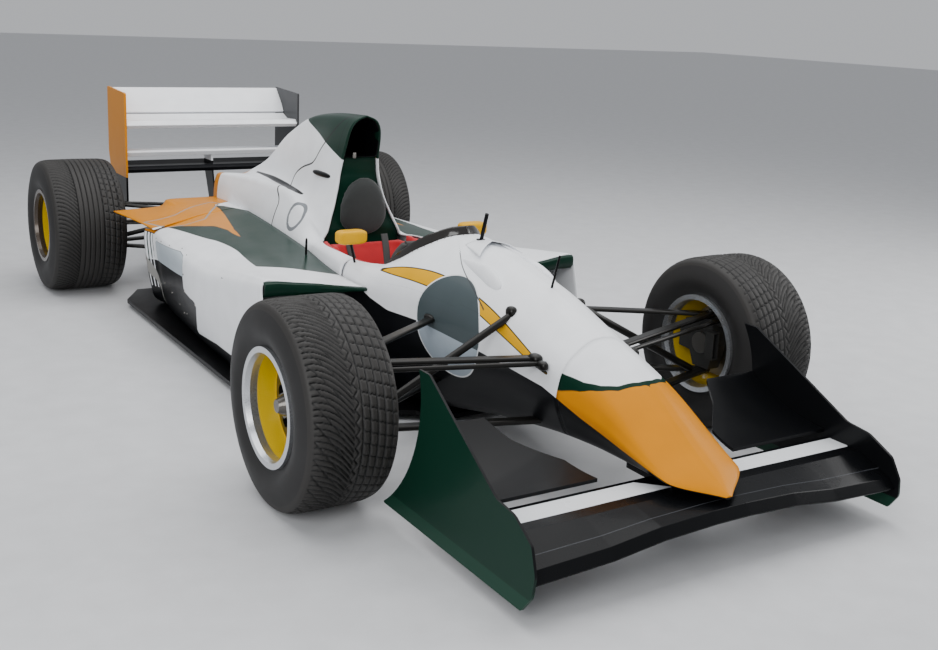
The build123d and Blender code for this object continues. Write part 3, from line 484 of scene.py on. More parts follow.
# Each section starts at the car's middle, at the height of its floor
TUB_STATIONS, TUB_POINTS = sections([(row[0], 0, row[2]) + row[1:] for row in TUB_ROWS], TUB_CUTS,
                                    arc=TUB_ARC, run=TUB_RUN)
TOP_START = 3 * TUB_STEP
print("tub sections", TUB_POINTS.shape[:2])
TIP = -906
NOSE_FRONT = -792
NOSE_JOINT = -320
OPENING_FRONT = 490
TUB_BACK = 935
WAIST_BACK = 1640


# %% The tub's skin
def opening_half(y):
    """Half width of the driver's opening at each station."""
    stations, halves = np.array(OPENING, float).T
    return np.interp(y, stations, halves)


def tub_skin(y):
    """The tub's skin at stations y. Above the shoulder, x runs from the shoulder's end to the
    opening's edge in even steps, and z is read from the full section there."""
    grid = hold(y, TUB_POINTS.shape[1])
    full = flow(TUB_STATIONS, TUB_POINTS, grid)
    top = full[:, TOP_START:]
    share = np.linspace(0, 1, top.shape[1])[None, :]
    x = top[:, :1, 0] + (opening_half(y)[:, None] - top[:, :1, 0]) * share
    z = np.array([np.interp(-wanted, -line[:, 0], line[:, 1]) for wanted, line in zip(x, top)])
    return along(grid, np.concatenate([full[:, :TOP_START], np.stack([x, z], -1)], axis=1))


def rounded_steps(low, high, count):
    """Stations that lie close together at the low end: 1 - cos over a quarter turn."""
    return low + (high - low) * (1 - np.cos(np.linspace(0, math.pi / 2, count)))


# %% The nose and its paint
tip = tub_skin([TIP])
nose = tub_skin(np.concatenate([[TIP], NOSE_FRONT + (TIP - NOSE_FRONT) * np.linspace(0.9, 0, 9)**1.2,
                                np.linspace(NOSE_FRONT + 22, NOSE_JOINT - 0.6, 26)]))
cap = np.concatenate([np.broadcast_to(tip.mean(axis=1, keepdims=True) * (0, 1, 1), tip.shape), tip])
NOSE_PAINT = plain("nose_enamel", WHITE, 0.3, extra=dull(0.07), layers=[
    ("gold", -14, GREEN), ("gold", 0, YELLOW), ("dark", 0, BLACK)])
BELT_LINE = [
    # station and height of the line between the white and the black
    (-1000, 200), (-906, 208), (-792, 236), (-605, 268), (-431, 305), (-320, 335), (-253, 352), (63, 379),
    (171, 385), (282, 393), (410, 402), (592, 399), (718, 418), (800, 440), (935, 452),
]
NOSE_GOLD = [
    # half width and station of the yellow nose
    (-1, -541), (31, -540), (58, -530), (92, -517), (129, -476), (152, -420), (167, -333), (176, -256),
    (200, -200), (300, -200), (300, -1000), (-1, -1000),
]


def below_belt(y, z):
    """How far a point lies below the line between the white and the black."""
    stations, heights = np.array(BELT_LINE, float).T
    return np.interp(y, stations, heights) - z


nose_piece = piece("nose_shell", [nose, cap], "yellow_paint", NOSE_PAINT, nodes=["nose_cone"], wall=3.0)
x, y, z = places(nose_piece)
mark(nose_piece, gold=inside(x, y, NOSE_GOLD), dark=below_belt(y, z))


# %% The tub and its paint
tub_grid = tub_skin(np.concatenate([
    np.linspace(NOSE_JOINT, OPENING_FRONT - 10, 81), rounded_steps(OPENING_FRONT, OPENING_FRONT + 150, 18),
    np.linspace(OPENING_FRONT + 160, TUB_BACK, 28)]))
side_end = 2 * TUB_STEP + TUB_RUN // 2
rear_y = np.linspace(TUB_BACK, WAIST_BACK, 30)[:, None, None]
rear_side = tub_grid[-1:, :side_end + 1] * (1, 0, 1) + rear_y * (0, 1, 0)
# The oval is grey above the belt line and white below it. Below the line it is laid in the pale blue-grey
# A2AEB8, the look of that white in shade: real white paint with painted shade.
TUB_PAINT = plain("tub_enamel", WHITE, 0.3, coat=0.04, extra=dull(0.15), layers=[
    ("stripe", -3.5, EDGE), ("stripe", 0, LEMON), ("dark", 0, BLACK), ("oval", -5, "E4E6E8"),
    ("oval", 0, "A2AEB8"), ("oval_top", 0, "454F52"), ("hatch_line", -1.4, "3B3D40")])
STRIPE_TOP = [
    # station and height along the stripe's upper edge, from the back
    (700, 528), (575, 561), (454, 573), (362, 572), (260, 562), (150, 541), (36, 512), (-80, 472),
    (-262, 398),
]
STRIPE_FOOT = [
    # the same along its lower edge, from the front
    (-262, 394), (-190, 408), (-69, 446), (61, 484), (150, 508), (260, 523), (407, 530), (520, 532),
    (700, 526),
]
STRIPE = np.concatenate([soften(STRIPE_TOP), soften(STRIPE_FOOT)])
# Half width and station along the joint of the hatch in front of the driver
HATCH = [(101, 379), (135, 307), (164, 166), (176, 96)]
OVAL_Y = 248
OVAL_Z = 420
OVAL_LONG = 170
OVAL_HIGH = 165
OVAL_LEAN = 0.18
tub_piece = piece("tub_shell", [tub_grid, rear_side], "white_paint", TUB_PAINT, nodes=["monocoque"],
                  wall=14.0)
x, y, z = places(tub_piece)
dark = below_belt(y, z)
up = z - OVAL_Z
oval = OVAL_HIGH * (1 - np.sqrt(((y - OVAL_Y - OVAL_LEAN * up) / OVAL_LONG)**2 + (up / OVAL_HIGH)**2))
mark(tub_piece, dark=dark, oval=oval, oval_top=np.minimum(oval, -dark), stripe=inside(y, z, STRIPE),
     hatch_line=np.where(z > 500, side_of(x, y, soften(HATCH)), 50.0))


# %% [markdown]
# ## The engine cover
# One shell runs from the cockpit's sills up to the arched air intake and back to a low fin.
# A boolean cut could shape its front, but would leave long thin faces. The front edge isn't
# square to the car: it follows the roll hoop, so each line along the cover starts at its
# own station and they all end together.

# %% Sections of the cover
COVER_ROWS = [
    # station, then pod line, flank, cheek, ridge, groove, fin foot, fin, fin shoulder, crown side, crown
    (1328, 256, 440, 250, 486, 238, 508, 191, 512, 166, 560, 112, 682, 87, 812, 78, 965, 50, 1016, 0, 1034),
    (1500, 246, 440, 240, 490, 226, 524, 188, 580, 160, 606, 116, 690, 92, 830, 66, 965, 40, 1012, 0, 1026),
    (1780, 226, 440, 221, 502, 206, 565, 168, 668, 112, 655, 90, 694, 66, 830, 38, 950, 23, 984, 0, 992),
    (2100, 210, 440, 206, 508, 196, 580, 166, 664, 92, 650, 66, 676, 42, 760, 22, 846, 12, 870, 0, 877),
    (2370, 206, 440, 202, 512, 196, 582, 170, 648, 74, 640, 46, 650, 32, 678, 18, 706, 9, 712, 0, 714),
    (2615, 204, 440, 200, 500, 194, 575, 176, 622, 70, 608, 44, 610, 28, 613, 14, 618, 7, 620, 0, 620),
]
COWL_ROWS = [
    # station, then pod line, flank, cheek, sill edge and the roll inwards from it
    (935, 300, 430, 298, 476, 284, 514, 240, 524, 232, 512),
    (1160, 280, 430, 273, 480, 264, 510, 240, 524, 232, 512),
    (1280, 264, 435, 257, 484, 248, 510, 213, 522, 205, 510),
]
print("cover sections", len(COVER_ROWS), "cowl sections", len(COWL_ROWS))
HOOP_EDGE = [
    # height, station of the cover's front edge
    (505, 1328), (552, 1322), (607, 1342), (687, 1362), (782, 1372), (847, 1362), (920, 1338), (969, 1324),
    (1013, 1314), (1034, 1316),
]
COVER_CUTS = (0.4, 0.45, 0.3, 0.4, 0.45, 0.5, 0.45, 0.4)
COVER_RUN = 9
COVER_STEPS = 90
COWL_FRONT = 930
COVER_FRONT = 1328
COVER_BACK = 2615
# The column where the flank's skin ends and the tower's begins, in the groove beside the fin
RIDGE = 1 + 2 * (COVER_RUN + 5) + COVER_RUN + 3


# %% The cover's skin
def hoop_station(z):
    """Station of the cover's front edge at a height."""
    heights, stations = np.array(HOOP_EDGE, float).T
    return np.interp(z, heights, stations)


cover_stations, cover_points = sections(COVER_ROWS, COVER_CUTS, run=COVER_RUN)
cowl_stations, cowl_points = sections(COWL_ROWS, COVER_CUTS[:3], run=COVER_RUN)
steps = np.linspace(0, 1, COVER_STEPS)
flank_y = np.concatenate([np.linspace(COWL_FRONT, COVER_FRONT - 8, 30),
                          COVER_FRONT + (COVER_BACK - COVER_FRONT) * steps])
flank_grid = hold(flank_y, RIDGE + 1)
flank = along(flank_grid, flow(cowl_stations + cover_stations, np.concatenate(
    [cowl_points[:, :RIDGE + 1], cover_points[:, :RIDGE + 1]]), flank_grid))
front = hoop_station(cover_points[0, RIDGE:, 1])
front[0] = COVER_FRONT
tower_y = front[None, :] + (COVER_BACK - front[None, :]) * steps[:, None]
tower = along(tower_y, flow(cover_stations, cover_points[:, RIDGE:], tower_y))
tower[:, 0] = flank[-COVER_STEPS:, -1]
print("flank", flank.shape[:2], "tower", tower.shape[:2])


# %% The cover and its paint
# The slot's black is painted shade: the dark inside an opening, laid on the groove's floor.
COVER_PAINT = plain("cover_enamel", WHITE, 0.3, coat=0.04, extra=dull(0.15), layers=[
    ("hood", 0, GREEN), ("arch_line", -1.6, "050807"), ("seam_line", -4, BLACK), ("slot", 0, BLACK),
    ("ring", 0, "7C8084"), ("band", 0, YELLOW)])
HOOD_LINE = [
    # station and height of the green hood's lower edge
    (1300, 835), (1362, 846), (1385, 850), (1518, 888), (1643, 921), (1828, 957), (1936, 985), (2000, 1010),
]
COVER_SEAM = [
    # station and height of the joint between the front and the rear of the cover
    (1395, 1040), (1411, 1023), (1461, 976), (1534, 917), (1596, 857), (1644, 798), (1700, 780), (1767, 764),
    (1840, 732), (1872, 700), (1866, 659), (1779, 611), (1790, 560), (1800, 500),
]
SLOT = [
    # station and half width around the long slot in each groove, an opening drawn as painted shade
    (2415, 42), (1906, 96), (1650, 127), (1697, 135), (1759, 159), (2144, 90), (2415, 50),
]
FIN_FOOT = 700
ARCH_FOOT = 840
ARCH_DEPTH = 66
BAND_FRONT = 2560
RING_PLACE = (203, 1582, 574)
RING_RADIUS = 62
RING_HALF_WIDTH = 9
cover_piece = piece("cover_shell", [flank, tower], "white_paint", COVER_PAINT, nodes=["engine_cover"],
                    wall=6.0)
x, y, z = places(cover_piece)
hood_y, hood_z = np.array(HOOD_LINE, float).T
from_ring = np.linalg.norm(np.stack([x, y, z], -1) - RING_PLACE, axis=1)
mark(cover_piece, hood=z - np.interp(y, hood_y, hood_z),
     arch_line=np.where(z > ARCH_FOOT, y - hoop_station(z) - ARCH_DEPTH, 50.0),
     seam_line=side_of(y, z, soften(COVER_SEAM)),
     slot=np.minimum(inside(y, x, SLOT), FIN_FOOT - z),
     ring=RING_HALF_WIDTH - np.abs(from_ring - RING_RADIUS) + np.where(z < FIN_FOOT, 0.0, -50.0),
     band=y - BAND_FRONT)


# %% [markdown]
# ## The air intake and the panel behind the driver
# The arch above the driver's head feeds the engine. Its duct could be the cover's inner
# wall, but a tube of its own that keeps just inside has the right flat floor, and takes a
# dark finish. Below it a panel closes the cover.

# %% Intake duct
INTAKE_ROWS = [
    # station, then floor middle, floor corner, side, arch side, arch top
    (1340, 0, 853, 79, 853, 74, 960, 44, 1010, 0, 1026),
    (1450, 0, 856, 76, 856, 66, 955, 38, 1004, 0, 1018),
    (1575, 0, 862, 62, 862, 52, 950, 30, 992, 0, 1004),
]
DUCT_FLOOR = 853
DUCT_BACK = 1575
intake_stations, intake_points = sections(INTAKE_ROWS, (0.2, 0.4, 0.45))
intake_edge = hoop_station(intake_points[0, :, 1]) + 3
intake_y = intake_edge[None, :] + (DUCT_BACK - intake_edge[None, :]) * np.linspace(0, 1, 14)[:, None]
duct = along(intake_y, flow(intake_stations, intake_points, intake_y))
closed = np.stack([duct[-1], np.broadcast_to(duct[-1].mean(axis=0) * (0, 1, 1), duct[-1].shape)])
piece("intake_duct", [duct, closed], "black_lacquer", nodes=["airbox"], wall=2.0)


# %% Hoop panel
PANEL_FOOT = 462
PANEL_DEPTH = 20
COVER_WALL = 6
panel_z = np.linspace(PANEL_FOOT, DUCT_FLOOR, 30)
rim_line = cover_points[0, RIDGE:]
rim_half = np.interp(panel_z, rim_line[:, 1], rim_line[:, 0]) - COVER_WALL
panel = np.stack([rim_half[:, None] * np.linspace(0, 1, 10)[None, :],
                  hold(hoop_station(panel_z) + PANEL_DEPTH, 10), hold(panel_z, 10)], -1)
piece("hoop_panel_sheet", [panel], "green_paint", nodes=["hoop_panel"], wall=3.0)


# %% [markdown]
# ## The sidepods
# Each pod is a long duct for a radiator. Its top falls from a raised outer front corner to
# a low waist at the back. One mesh mirrored by a modifier would do for the form, but the
# left and the right pod are parts of their own, so the same grid is laid down twice.

# %% Sections of the pods
POD_ROWS = [
    # station, then inner edge, top middle, shoulder, side top, belly, foot, foot inner
    (600, 292, 450, 480, 482, 682, 513, 702, 486, 702, 300, 660, 42, 500, 42),
    (757, 292, 452, 480, 481, 680, 511, 702, 484, 702, 300, 660, 42, 500, 42),
    (900, 300, 458, 480, 478, 668, 496, 700, 462, 700, 298, 655, 42, 500, 42),
    (1419, 250, 484, 440, 472, 646, 440, 698, 402, 698, 290, 645, 42, 480, 42),
    (2100, 208, 506, 400, 478, 604, 426, 648, 396, 632, 240, 600, 42, 440, 42),
    (2232, 203, 508, 400, 480, 590, 426, 634, 398, 612, 220, 580, 42, 430, 42),
    (2330, 202, 506, 400, 474, 606, 432, 650, 402, 634, 215, 600, 44, 425, 44),
]
print("pod sections", len(POD_ROWS))


# %% The pods' skin
POD_FRONT = 757
POD_BACK = 2330
DECK_FRONT = 2220
DECK_BACK = 2588
POD_TOP = 512
POD_SIDE = 690
FRONT_SLANT = 0.277
pod_stations, pod_points = sections(POD_ROWS, (0.3, 0.2, 0.35, 0.4, 0.3), run=7)
# The side's front edge leans forwards towards its foot
pod_front = POD_FRONT - FRONT_SLANT * (POD_TOP - pod_points[1, :, 1]) * (pod_points[1, :, 0] > POD_SIDE)
pod_front = np.minimum(pod_front, POD_FRONT)
pod_steps = np.concatenate([np.linspace(0, 0.93, 110), np.linspace(0.94, 1, 30)])
pod_y = pod_front[None, :] + (POD_BACK - pod_front[None, :]) * pod_steps[:, None]
pod = along(pod_y, flow(pod_stations, pod_points, pod_y))
DECK_ROWS = [
    # station, then inner edge, step top, step foot, outer edge
    (2220, 204, 508, 400, 481, 560, 442, 634, 424),
    (2400, 198, 505, 420, 490, 575, 446, 664, 436),
    (2588, 190, 500, 455, 499, 478, 462, 717, 452),
]
deck_stations, deck_points = sections(DECK_ROWS, (0.2, 0.3), run=8)
deck_y = hold(np.linspace(DECK_FRONT, DECK_BACK, 40), deck_points.shape[1])
deck = along(deck_y, flow(deck_stations, deck_points, deck_y))
print("pod", pod.shape[:2], "deck", deck.shape[:2])


# %% The pods' painted shapes
# The sunken panel isn't cut in. Its pale grey-blue face is white in painted shade, and its darker rim is the
# painted shade of its step.
POD_PAINT = plain("pod_enamel", WHITE, 0.3, coat=0.04, extra=dull(0.15), layers=[
    ("green", 0, GREEN), ("panel", -2, "6F777D"), ("panel", 0, "BAC4CB"), ("dark", 0, BLACK),
    ("pin_light", -4, WHITE), ("pin_dark", -5, GREEN), ("gold", -3, EDGE), ("gold", 0, YELLOW),
    ("swirl_line", -5, "8F8E8A")])
POD_GREEN = [
    # half width and station around the green top
    (200, 900), (326, 931), (563, 1125), (560, 1150), (526, 1355), (503, 1508), (508, 1714), (527, 1800),
    (555, 2090), (600, 2400), (180, 2400), (180, 900),
]
POD_GOLD = [
    # half width and station around the yellow, from its tip along the inner side, then the outer
    (431, 1634), (411, 1686), (369, 1904), (320, 2125), (297, 2254), (290, 2358), (150, 2420), (150, 2700),
    (800, 2700), (800, 2260), (640, 2238), (599, 2231), (563, 2194), (529, 2153), (494, 2087), (456, 2019),
    (425, 1973), (408, 1851),
]
SWIRL = [
    # half width and station of the grey line on the deck
    (640, 2345), (495, 2327), (376, 2386), (277, 2434), (255, 2380), (334, 2262), (414, 2137), (509, 2142),
    (599, 2231),
]
POD_DARK = [
    # station and height around the black lower side
    (2330, 262), (2132, 285), (1899, 304), (1646, 326), (1655, 262), (1560, 251), (1480, 251), (1570, 96),
    (1309, 120), (700, 120), (700, -20), (2330, -20),
]
POD_PANEL = [
    # station and height around the sunken panel, laid flat in painted shade with a darker rim
    (2205, 372), (1993, 389), (1760, 410), (1690, 406), (1655, 385), (1646, 326), (1899, 304), (2132, 285),
    (2205, 279),
]
print("corners", [len(shape) for shape in (POD_GREEN, POD_GOLD, SWIRL, POD_DARK, POD_PANEL)])


# %% Both pods
SIDES = ((1, "left"), (-1, "right"))
# Heights and a half width that keep each painted shape on its own face
GREEN_ABOVE = 405
GOLD_ABOVE = 400
PANEL_BEYOND = 450
SIDE_BELOW = 412
PIN_FOOT = 130
PIN_SPACING = 27
PIN_MIDDLE = 2287
PIN_REACH = 40
LIGHT_PIN = 2262
DARK_PIN = 2248
for side, name in SIDES:
    flip = np.array([side, 1, 1])
    pod_piece = piece(f"sidepod_shell_{name}", [pod * flip, deck * flip], "white_paint", POD_PAINT,
                      nodes=[f"sidepod_{name}"], both=False, wall=5.0)
    x, y, z = places(pod_piece)
    dark = inside(y, z, POD_DARK)
    # Upright pinstripes near the pod's rear edge, 0 where they may show and far below it elsewhere
    pins = np.where(z < SIDE_BELOW, 0.0, -50.0) + np.where(z > PIN_FOOT, 0.0, -50.0)
    pins = pins - 60 * (np.abs(y - PIN_MIDDLE) > PIN_REACH)
    mark(pod_piece, green=np.minimum(inside(x, y, soften(POD_GREEN)), z - GREEN_ABOVE),
         gold=np.minimum(inside(x, y, POD_GOLD), z - GOLD_ABOVE), dark=dark,
         panel=np.minimum(inside(y, z, POD_PANEL), x - PANEL_BEYOND), swirl_line=inside(x, y, SWIRL),
         pin_light=pins - wave(y - LIGHT_PIN, PIN_SPACING),
         pin_dark=np.minimum(pins - wave(y - DARK_PIN, PIN_SPACING), -dark))


# %% [markdown]
# ## Small forms on the shell
# A rounded blister covers each pushrod's rocker, a green lip edges the pod's inlet, and a
# small raised deflector lifts the air over the driver. They could be shrink-wrapped onto
# the shell. Here the blisters' and the deflector's height is read from the same table as
# the skin, which can't slip, and the lips' height comes from a table of their own.

# %% Height of the skin
def skin_height(x, y):
    """Height of the tub's skin at half width x and station y, read along each section."""
    tops = flow(TUB_STATIONS, TUB_POINTS, hold(y, TUB_POINTS.shape[1]))[:, TOP_START:]
    return np.array([np.interp(-a, -line[:, 0], line[:, 1]) for a, line in zip(x, tops)])


print("skin above the front axle", skin_height([0], [0]).round(1), "mm up")


# %% Blisters and the cowl's joint
# Station and half width along each blister's middle line
BLISTER_LINE = [(92, 115), (200, 109), (350, 113)]
BLISTER_LENGTH = 258
BLISTER_HALF = 18
BLISTER_HIGH = 26
BLISTER_SUNK = 2
JOINT_DEPTH = 4


def blister():
    """Half ellipses across a line: size sin(pi t^0.6)^0.8, blunt in front with a long tail."""
    t = np.linspace(0, 1, 40)[:, None]
    angle = np.linspace(0, math.pi, 17)[None, :]
    size = np.clip(np.sin(math.pi * t**0.6), 0, 1)**0.8
    line_y, line_x = np.array(BLISTER_LINE, float).T
    y = line_y[0] + BLISTER_LENGTH * t + 0 * angle
    x = np.interp(y, line_y, line_x) + BLISTER_HALF * size * np.cos(angle)
    foot_z = skin_height(x.ravel(), y.ravel()).reshape(x.shape) - BLISTER_SUNK
    z = foot_z + BLISTER_HIGH * size * np.sin(angle)
    return np.stack([x, y, z], -1)


# A strip that lies just under the seam between the tub and the cowl
joint = np.repeat(tub_skin([TUB_BACK])[:, 2 * TUB_STEP:], 5, axis=0) * (0.985, 0, 1) - (0, 0, JOINT_DEPTH)
joint = joint + np.linspace(TUB_BACK - 10, TUB_BACK + 50, 5)[:, None, None] * (0, 1, 0)
piece("cowl_joint", [joint], "white_paint", wall=2.0)

blister_piece = piece("rocker_blisters", [blister()], "white_paint", TUB_PAINT, wall=1.5)
x, y, z = places(blister_piece)
none = np.full(len(x), -50.0)
mark(blister_piece, stripe=inside(y, z, STRIPE) - 6, dark=none, oval=none, oval_top=none, hatch_line=-none)


# %% Inlet lips
# Station and depth round the lip, then half width and height along the inlet's upper edge
LIP_SECTION = [(752, 1), (741, -6), (738, -20), (742, -40), (756, -56), (772, -56)]
LIP_EDGE = [(276, 449), (409, 468), (480, 481), (560, 491), (636, 502), (690, 503)]
lip_t = np.linspace(0, len(LIP_EDGE) - 1, 40)
lip_x, lip_z = (np.interp(lip_t, range(len(LIP_EDGE)), column) for column in np.array(LIP_EDGE, float).T)
# The lip is flatter towards the tub
lip_deep = np.interp(lip_x, [276, 480, 650], [0.3, 0.75, 1.0])
lip_cut = np.array(LIP_SECTION, float)
lip = np.stack([lip_x[:, None] + 0 * lip_cut[:, 0], lip_cut[:, 0] + 0 * lip_x[:, None],
                lip_z[:, None] + lip_cut[:, 1] * lip_deep[:, None]], -1)
piece("inlet_lips", [lip], "green_paint", wall=3.0)


# %% Deflector
# A plate swept forwards to its tips, lifted off the skin in front and lying on it behind
DEFLECTOR_FRONT = 330
DEFLECTOR_SWEEP = 60
DEFLECTOR_LENGTH = 70
DEFLECTOR_HALF = 92
DEFLECTOR_LIFT = 18
across = np.linspace(0, 1, 14)[None, :]
back_share = np.linspace(0, 1, 10)[:, None]
plate_y = ((DEFLECTOR_FRONT - DEFLECTOR_SWEEP * across)
           + (DEFLECTOR_LENGTH + DEFLECTOR_SWEEP * across) * back_share)
plate_x = DEFLECTOR_HALF * across * (1 - 0.25 * back_share)
plate_z = skin_height(plate_x.ravel(), plate_y.ravel()).reshape(plate_x.shape)
plate_z = plate_z + DEFLECTOR_LIFT * (1 - back_share)
piece("air_deflector", [np.stack([plate_x, plate_y, plate_z], -1)], "white_paint", wall=2.5)


# %% [markdown]
# ## Screen, mirrors and rod ends
# The smoked screen is a low band bent round the scuttle: a curve along its foot, carried up
# and back. A strip cut from a sphere would be simpler, but its foot has to follow the
# opening. Mirrors are rounded blocks on thin stalks; a superellipsoid rounds them without a
# bevel. Where rods meet the tub, a rounded end on each hides its bearing.

# %% Screen
# Half width and station along its foot; its height is read along the same stations below
SCREEN_FOOT = [(0, 484), (50, 508), (100, 556), (146, 604), (170, 645), (184, 700), (191, 768)]
foot = soften(SCREEN_FOOT, 3)
foot_z = skin_height(np.minimum(foot[:, 0], opening_half(foot[:, 1]) + 4), foot[:, 1])
rise = np.linspace(0, 1, 7)[None, :]
SCREEN_HIGH = 33
SCREEN_SUNK = 3
tall = np.interp(foot[:, 1], [484, 600, 690, 768], [SCREEN_HIGH, 34, 26, 4])[:, None]
screen = np.stack([foot[:, :1] - 5 * rise, foot[:, 1:] + 16 * rise * (tall / SCREEN_HIGH),
                   foot_z[:, None] - SCREEN_SUNK + tall * rise + 3 * np.sin(math.pi * rise)], -1)
piece("wind_screen", [screen], "smoked_screen", nodes=["windscreen"], wall=2.5)


# %% Mirrors and rod ends
def rounded_block(centre, half, power=0.45, rows=21, columns=40):
    """Superellipsoid: each sine and cosine keeps its sign and is raised to a power."""
    up = np.linspace(-math.pi / 2, math.pi / 2, rows)[:, None]
    about = np.linspace(0, 2 * math.pi, columns + 1)[None, :]

    def bulge(value):
        """The value raised to the power, with its own sign."""
        return np.sign(value) * np.abs(value)**power

    shape = np.stack([bulge(np.cos(up)) * bulge(np.cos(about)), bulge(np.cos(up)) * bulge(np.sin(about)),
                      bulge(np.sin(up)) + 0 * about], -1)
    return shape * half + centre


def rod(start, end, radius, steps=12):
    """A round rod with domed ends: a circle carried from start to end, radius r (1 - t^8)^0.5."""
    start, end = np.array(start, float), np.array(end, float)
    ahead = (end - start) / np.linalg.norm(end - start)
    side = np.cross(ahead, [0.0, 0.31, 0.95])
    side /= np.linalg.norm(side)
    t = np.linspace(-1, 1, steps)[:, None, None]
    angle = np.linspace(0, 2 * math.pi, 21)[None, :, None]
    ring = np.cos(angle) * side + np.sin(angle) * np.cross(ahead, side)
    return (start + end) / 2 + t * (end - start) / 2 + ring * radius * np.sqrt(1 - t**8)


MIRROR_PAINT = plain("mirror_enamel", LEMON, 0.35, extra=dull(0.15))
piece("mirror_pods", [rounded_block((275, 890, 616), (61, 30, 27))], "yellow_paint", MIRROR_PAINT,
      nodes=["mirrors"])
piece("mirror_stalks", [rod((278, 890, 596), (252, 893, 500), 4.5, 20)], "black_lacquer")
ROD_ENDS = [
    # place of each rounded end and its half sizes
    ((140, -13, 528), (17, 21, 20)), ((176, -208, 430), (20, 26, 16)), ((232, 352, 424), (14, 30, 16)),
    ((116, -207, 218), (18, 22, 15)), ((182, -256, 421), (15, 22, 15)),
]
piece("rod_end_covers", [rounded_block(place, half, 0.8) for place, half in ROD_ENDS], "suspension_steel")


# %% [markdown]
# ## Fasteners and small fittings
# Screws hold the panels of each pod and rivets hold the screen. Copies of one object could
# be scattered, but one joined mesh of small domes, each a few faces, exports as one piece.

# %% Domes
def domes(spots, out, radius):
    """Low domes of 3 rings by 8 at many places (count, 3), each facing its own direction."""
    spots, out = np.asarray(spots, float), np.asarray(out, float)
    out = out / np.linalg.norm(out, axis=1, keepdims=True)
    side = np.cross(out, [0.0, 1.0, 0.13])
    side /= np.linalg.norm(side, axis=1, keepdims=True)
    other = np.cross(out, side)
    up = np.linspace(0, math.pi / 2 - 0.01, 3)[:, None, None]
    angle = np.linspace(0, 2 * math.pi, 9)[None, :, None]
    return [place + radius * (np.cos(up) * (np.cos(angle) * a + np.sin(angle) * b) + 0.6 * np.sin(up) * n)
            for place, a, b, n in zip(spots, side, other, out)]


# %% Screws and rivets
def pod_side(y, z):
    """Half width of the pod's side at a station and height, read from the nearest row."""
    row = pod[np.abs(pod[:, -40, 1] - y).argmin()]
    wall = row[np.argmax(row[:, 0]) - 14:]
    return float(np.interp(-z, -wall[:, 2], wall[:, 0]))


SCREWS = [
    # station and height on the pod's side
    (2190, 385), (2075, 393), (1930, 404), (1780, 419), (1668, 414), (1632, 340), (1640, 262), (2080, 196),
    (1930, 186), (1800, 166), (1742, 140), (1690, 150), (2210, 160), (1500, 236),
]
screw_places = [(pod_side(y, z), y, z) for y, z in SCREWS]
piece("pod_screws", domes(screw_places, [(1, 0, 0.1)] * len(SCREWS), 4.0), "hub_steel")
rivet_line = foot[6:-4:3]
rivet_x = np.minimum(rivet_line[:, 0], opening_half(rivet_line[:, 1]) + 4) + 7
rivets = np.stack([rivet_x, rivet_line[:, 1] - 5, skin_height(rivet_x, rivet_line[:, 1] - 5)], -1)
piece("screen_rivets", domes(rivets, rivets * 0 + (0.4, -0.2, 1), 2.6), "hub_steel")


# %% Post, straps, fitting and fairings
piece("pod_post", [rod((-300, 1247, 470), (-300, 1243, 548), 5.0)], "black_lacquer", both=False)
# Half width, station and height down each strap
STRAP = np.array([(88, 1306, 530), (87, 1292, 505), (85, 1278, 474), (81, 1262, 440), (76, 1244, 402),
                  (72, 1222, 350)], float)
strap_t = np.linspace(0, len(STRAP) - 1, 30)
strap_middle = np.stack([np.interp(strap_t, range(len(STRAP)), column) for column in STRAP.T], -1) - (0, 9, 0)
strap = strap_middle[:, None, :] + np.linspace(-1, 1, 5)[None, :, None] * np.array([16.0, 0, 0])
piece("shoulder_straps", [strap], "headrest_foam", wall=2.0)
piece("intake_fitting", [rod((-36, 1352, 850), (-36, 1352, 878), 8.0)], "hub_steel", both=False)
piece("cover_fairings", [rounded_block((100, 1530, 762), (16, 88, 12), 0.8)], "black_lacquer")


# %% [markdown]
# ## Tyres
# A wet-weather racing tyre has a soft tread moulded with hundreds of small grooves: swept
# cuts that throw the water outwards, a zigzag at the middle and small blocks on the inner
# side. A bump map would draw them flat against the light at the tyre's edge, so each tyre
# is one profile carried round the axle on a fine grid, and a formula of the place across
# and around the tread pushes the grooves 5 mm in.

# %% Sizes and tread formulas
TYRES = {
    # end: radius, width, middle of the wheel from the car's middle, station
    "front": (320.0, 305.0, 847.5, 0.0),
    "rear": (330.0, 372.0, 809.0, 2950.0),
}
BEAD_RADIUS = 165.6
GROOVE_DEPTH = 5.0
PROFILE_STEP = 3.4
AROUND = 480


def front_tread(s, v, turn):
    """How far (s across, v around) lies inside a groove, in mm: the largest of swept cuts
    v = 95 (1 - s/125)^2, thin cuts across them, a zigzag, and blocks on the inner side."""
    reach = 1 - s / 125
    swept = 2.5 - wave(v - 95 * reach**2, turn / 108) / np.hypot(1, 1.52 * reach)
    thin = 1.6 - wave(v + 1.3 * s, turn / 36) / 1.64
    outer = np.minimum(np.maximum(swept, np.minimum(thin, s - 25)), np.minimum(s - 7, 129 - s))
    zigzag = 2.4 - np.abs(s + 1 - 7 * (4 * wave(v, turn / 54) * 54 / turn - 1)) * 0.8
    rows = np.abs(s[..., None] - np.array([-17.0, -41.0, -65.0, -89.0, -113.0])).min(-1)
    across = np.minimum(2.5 - wave(v + 0.35 * s, turn / 54), -17 - s)
    return np.max([outer, zigzag, np.minimum(np.maximum(3.0 - rows, across), s + 128)], axis=0)


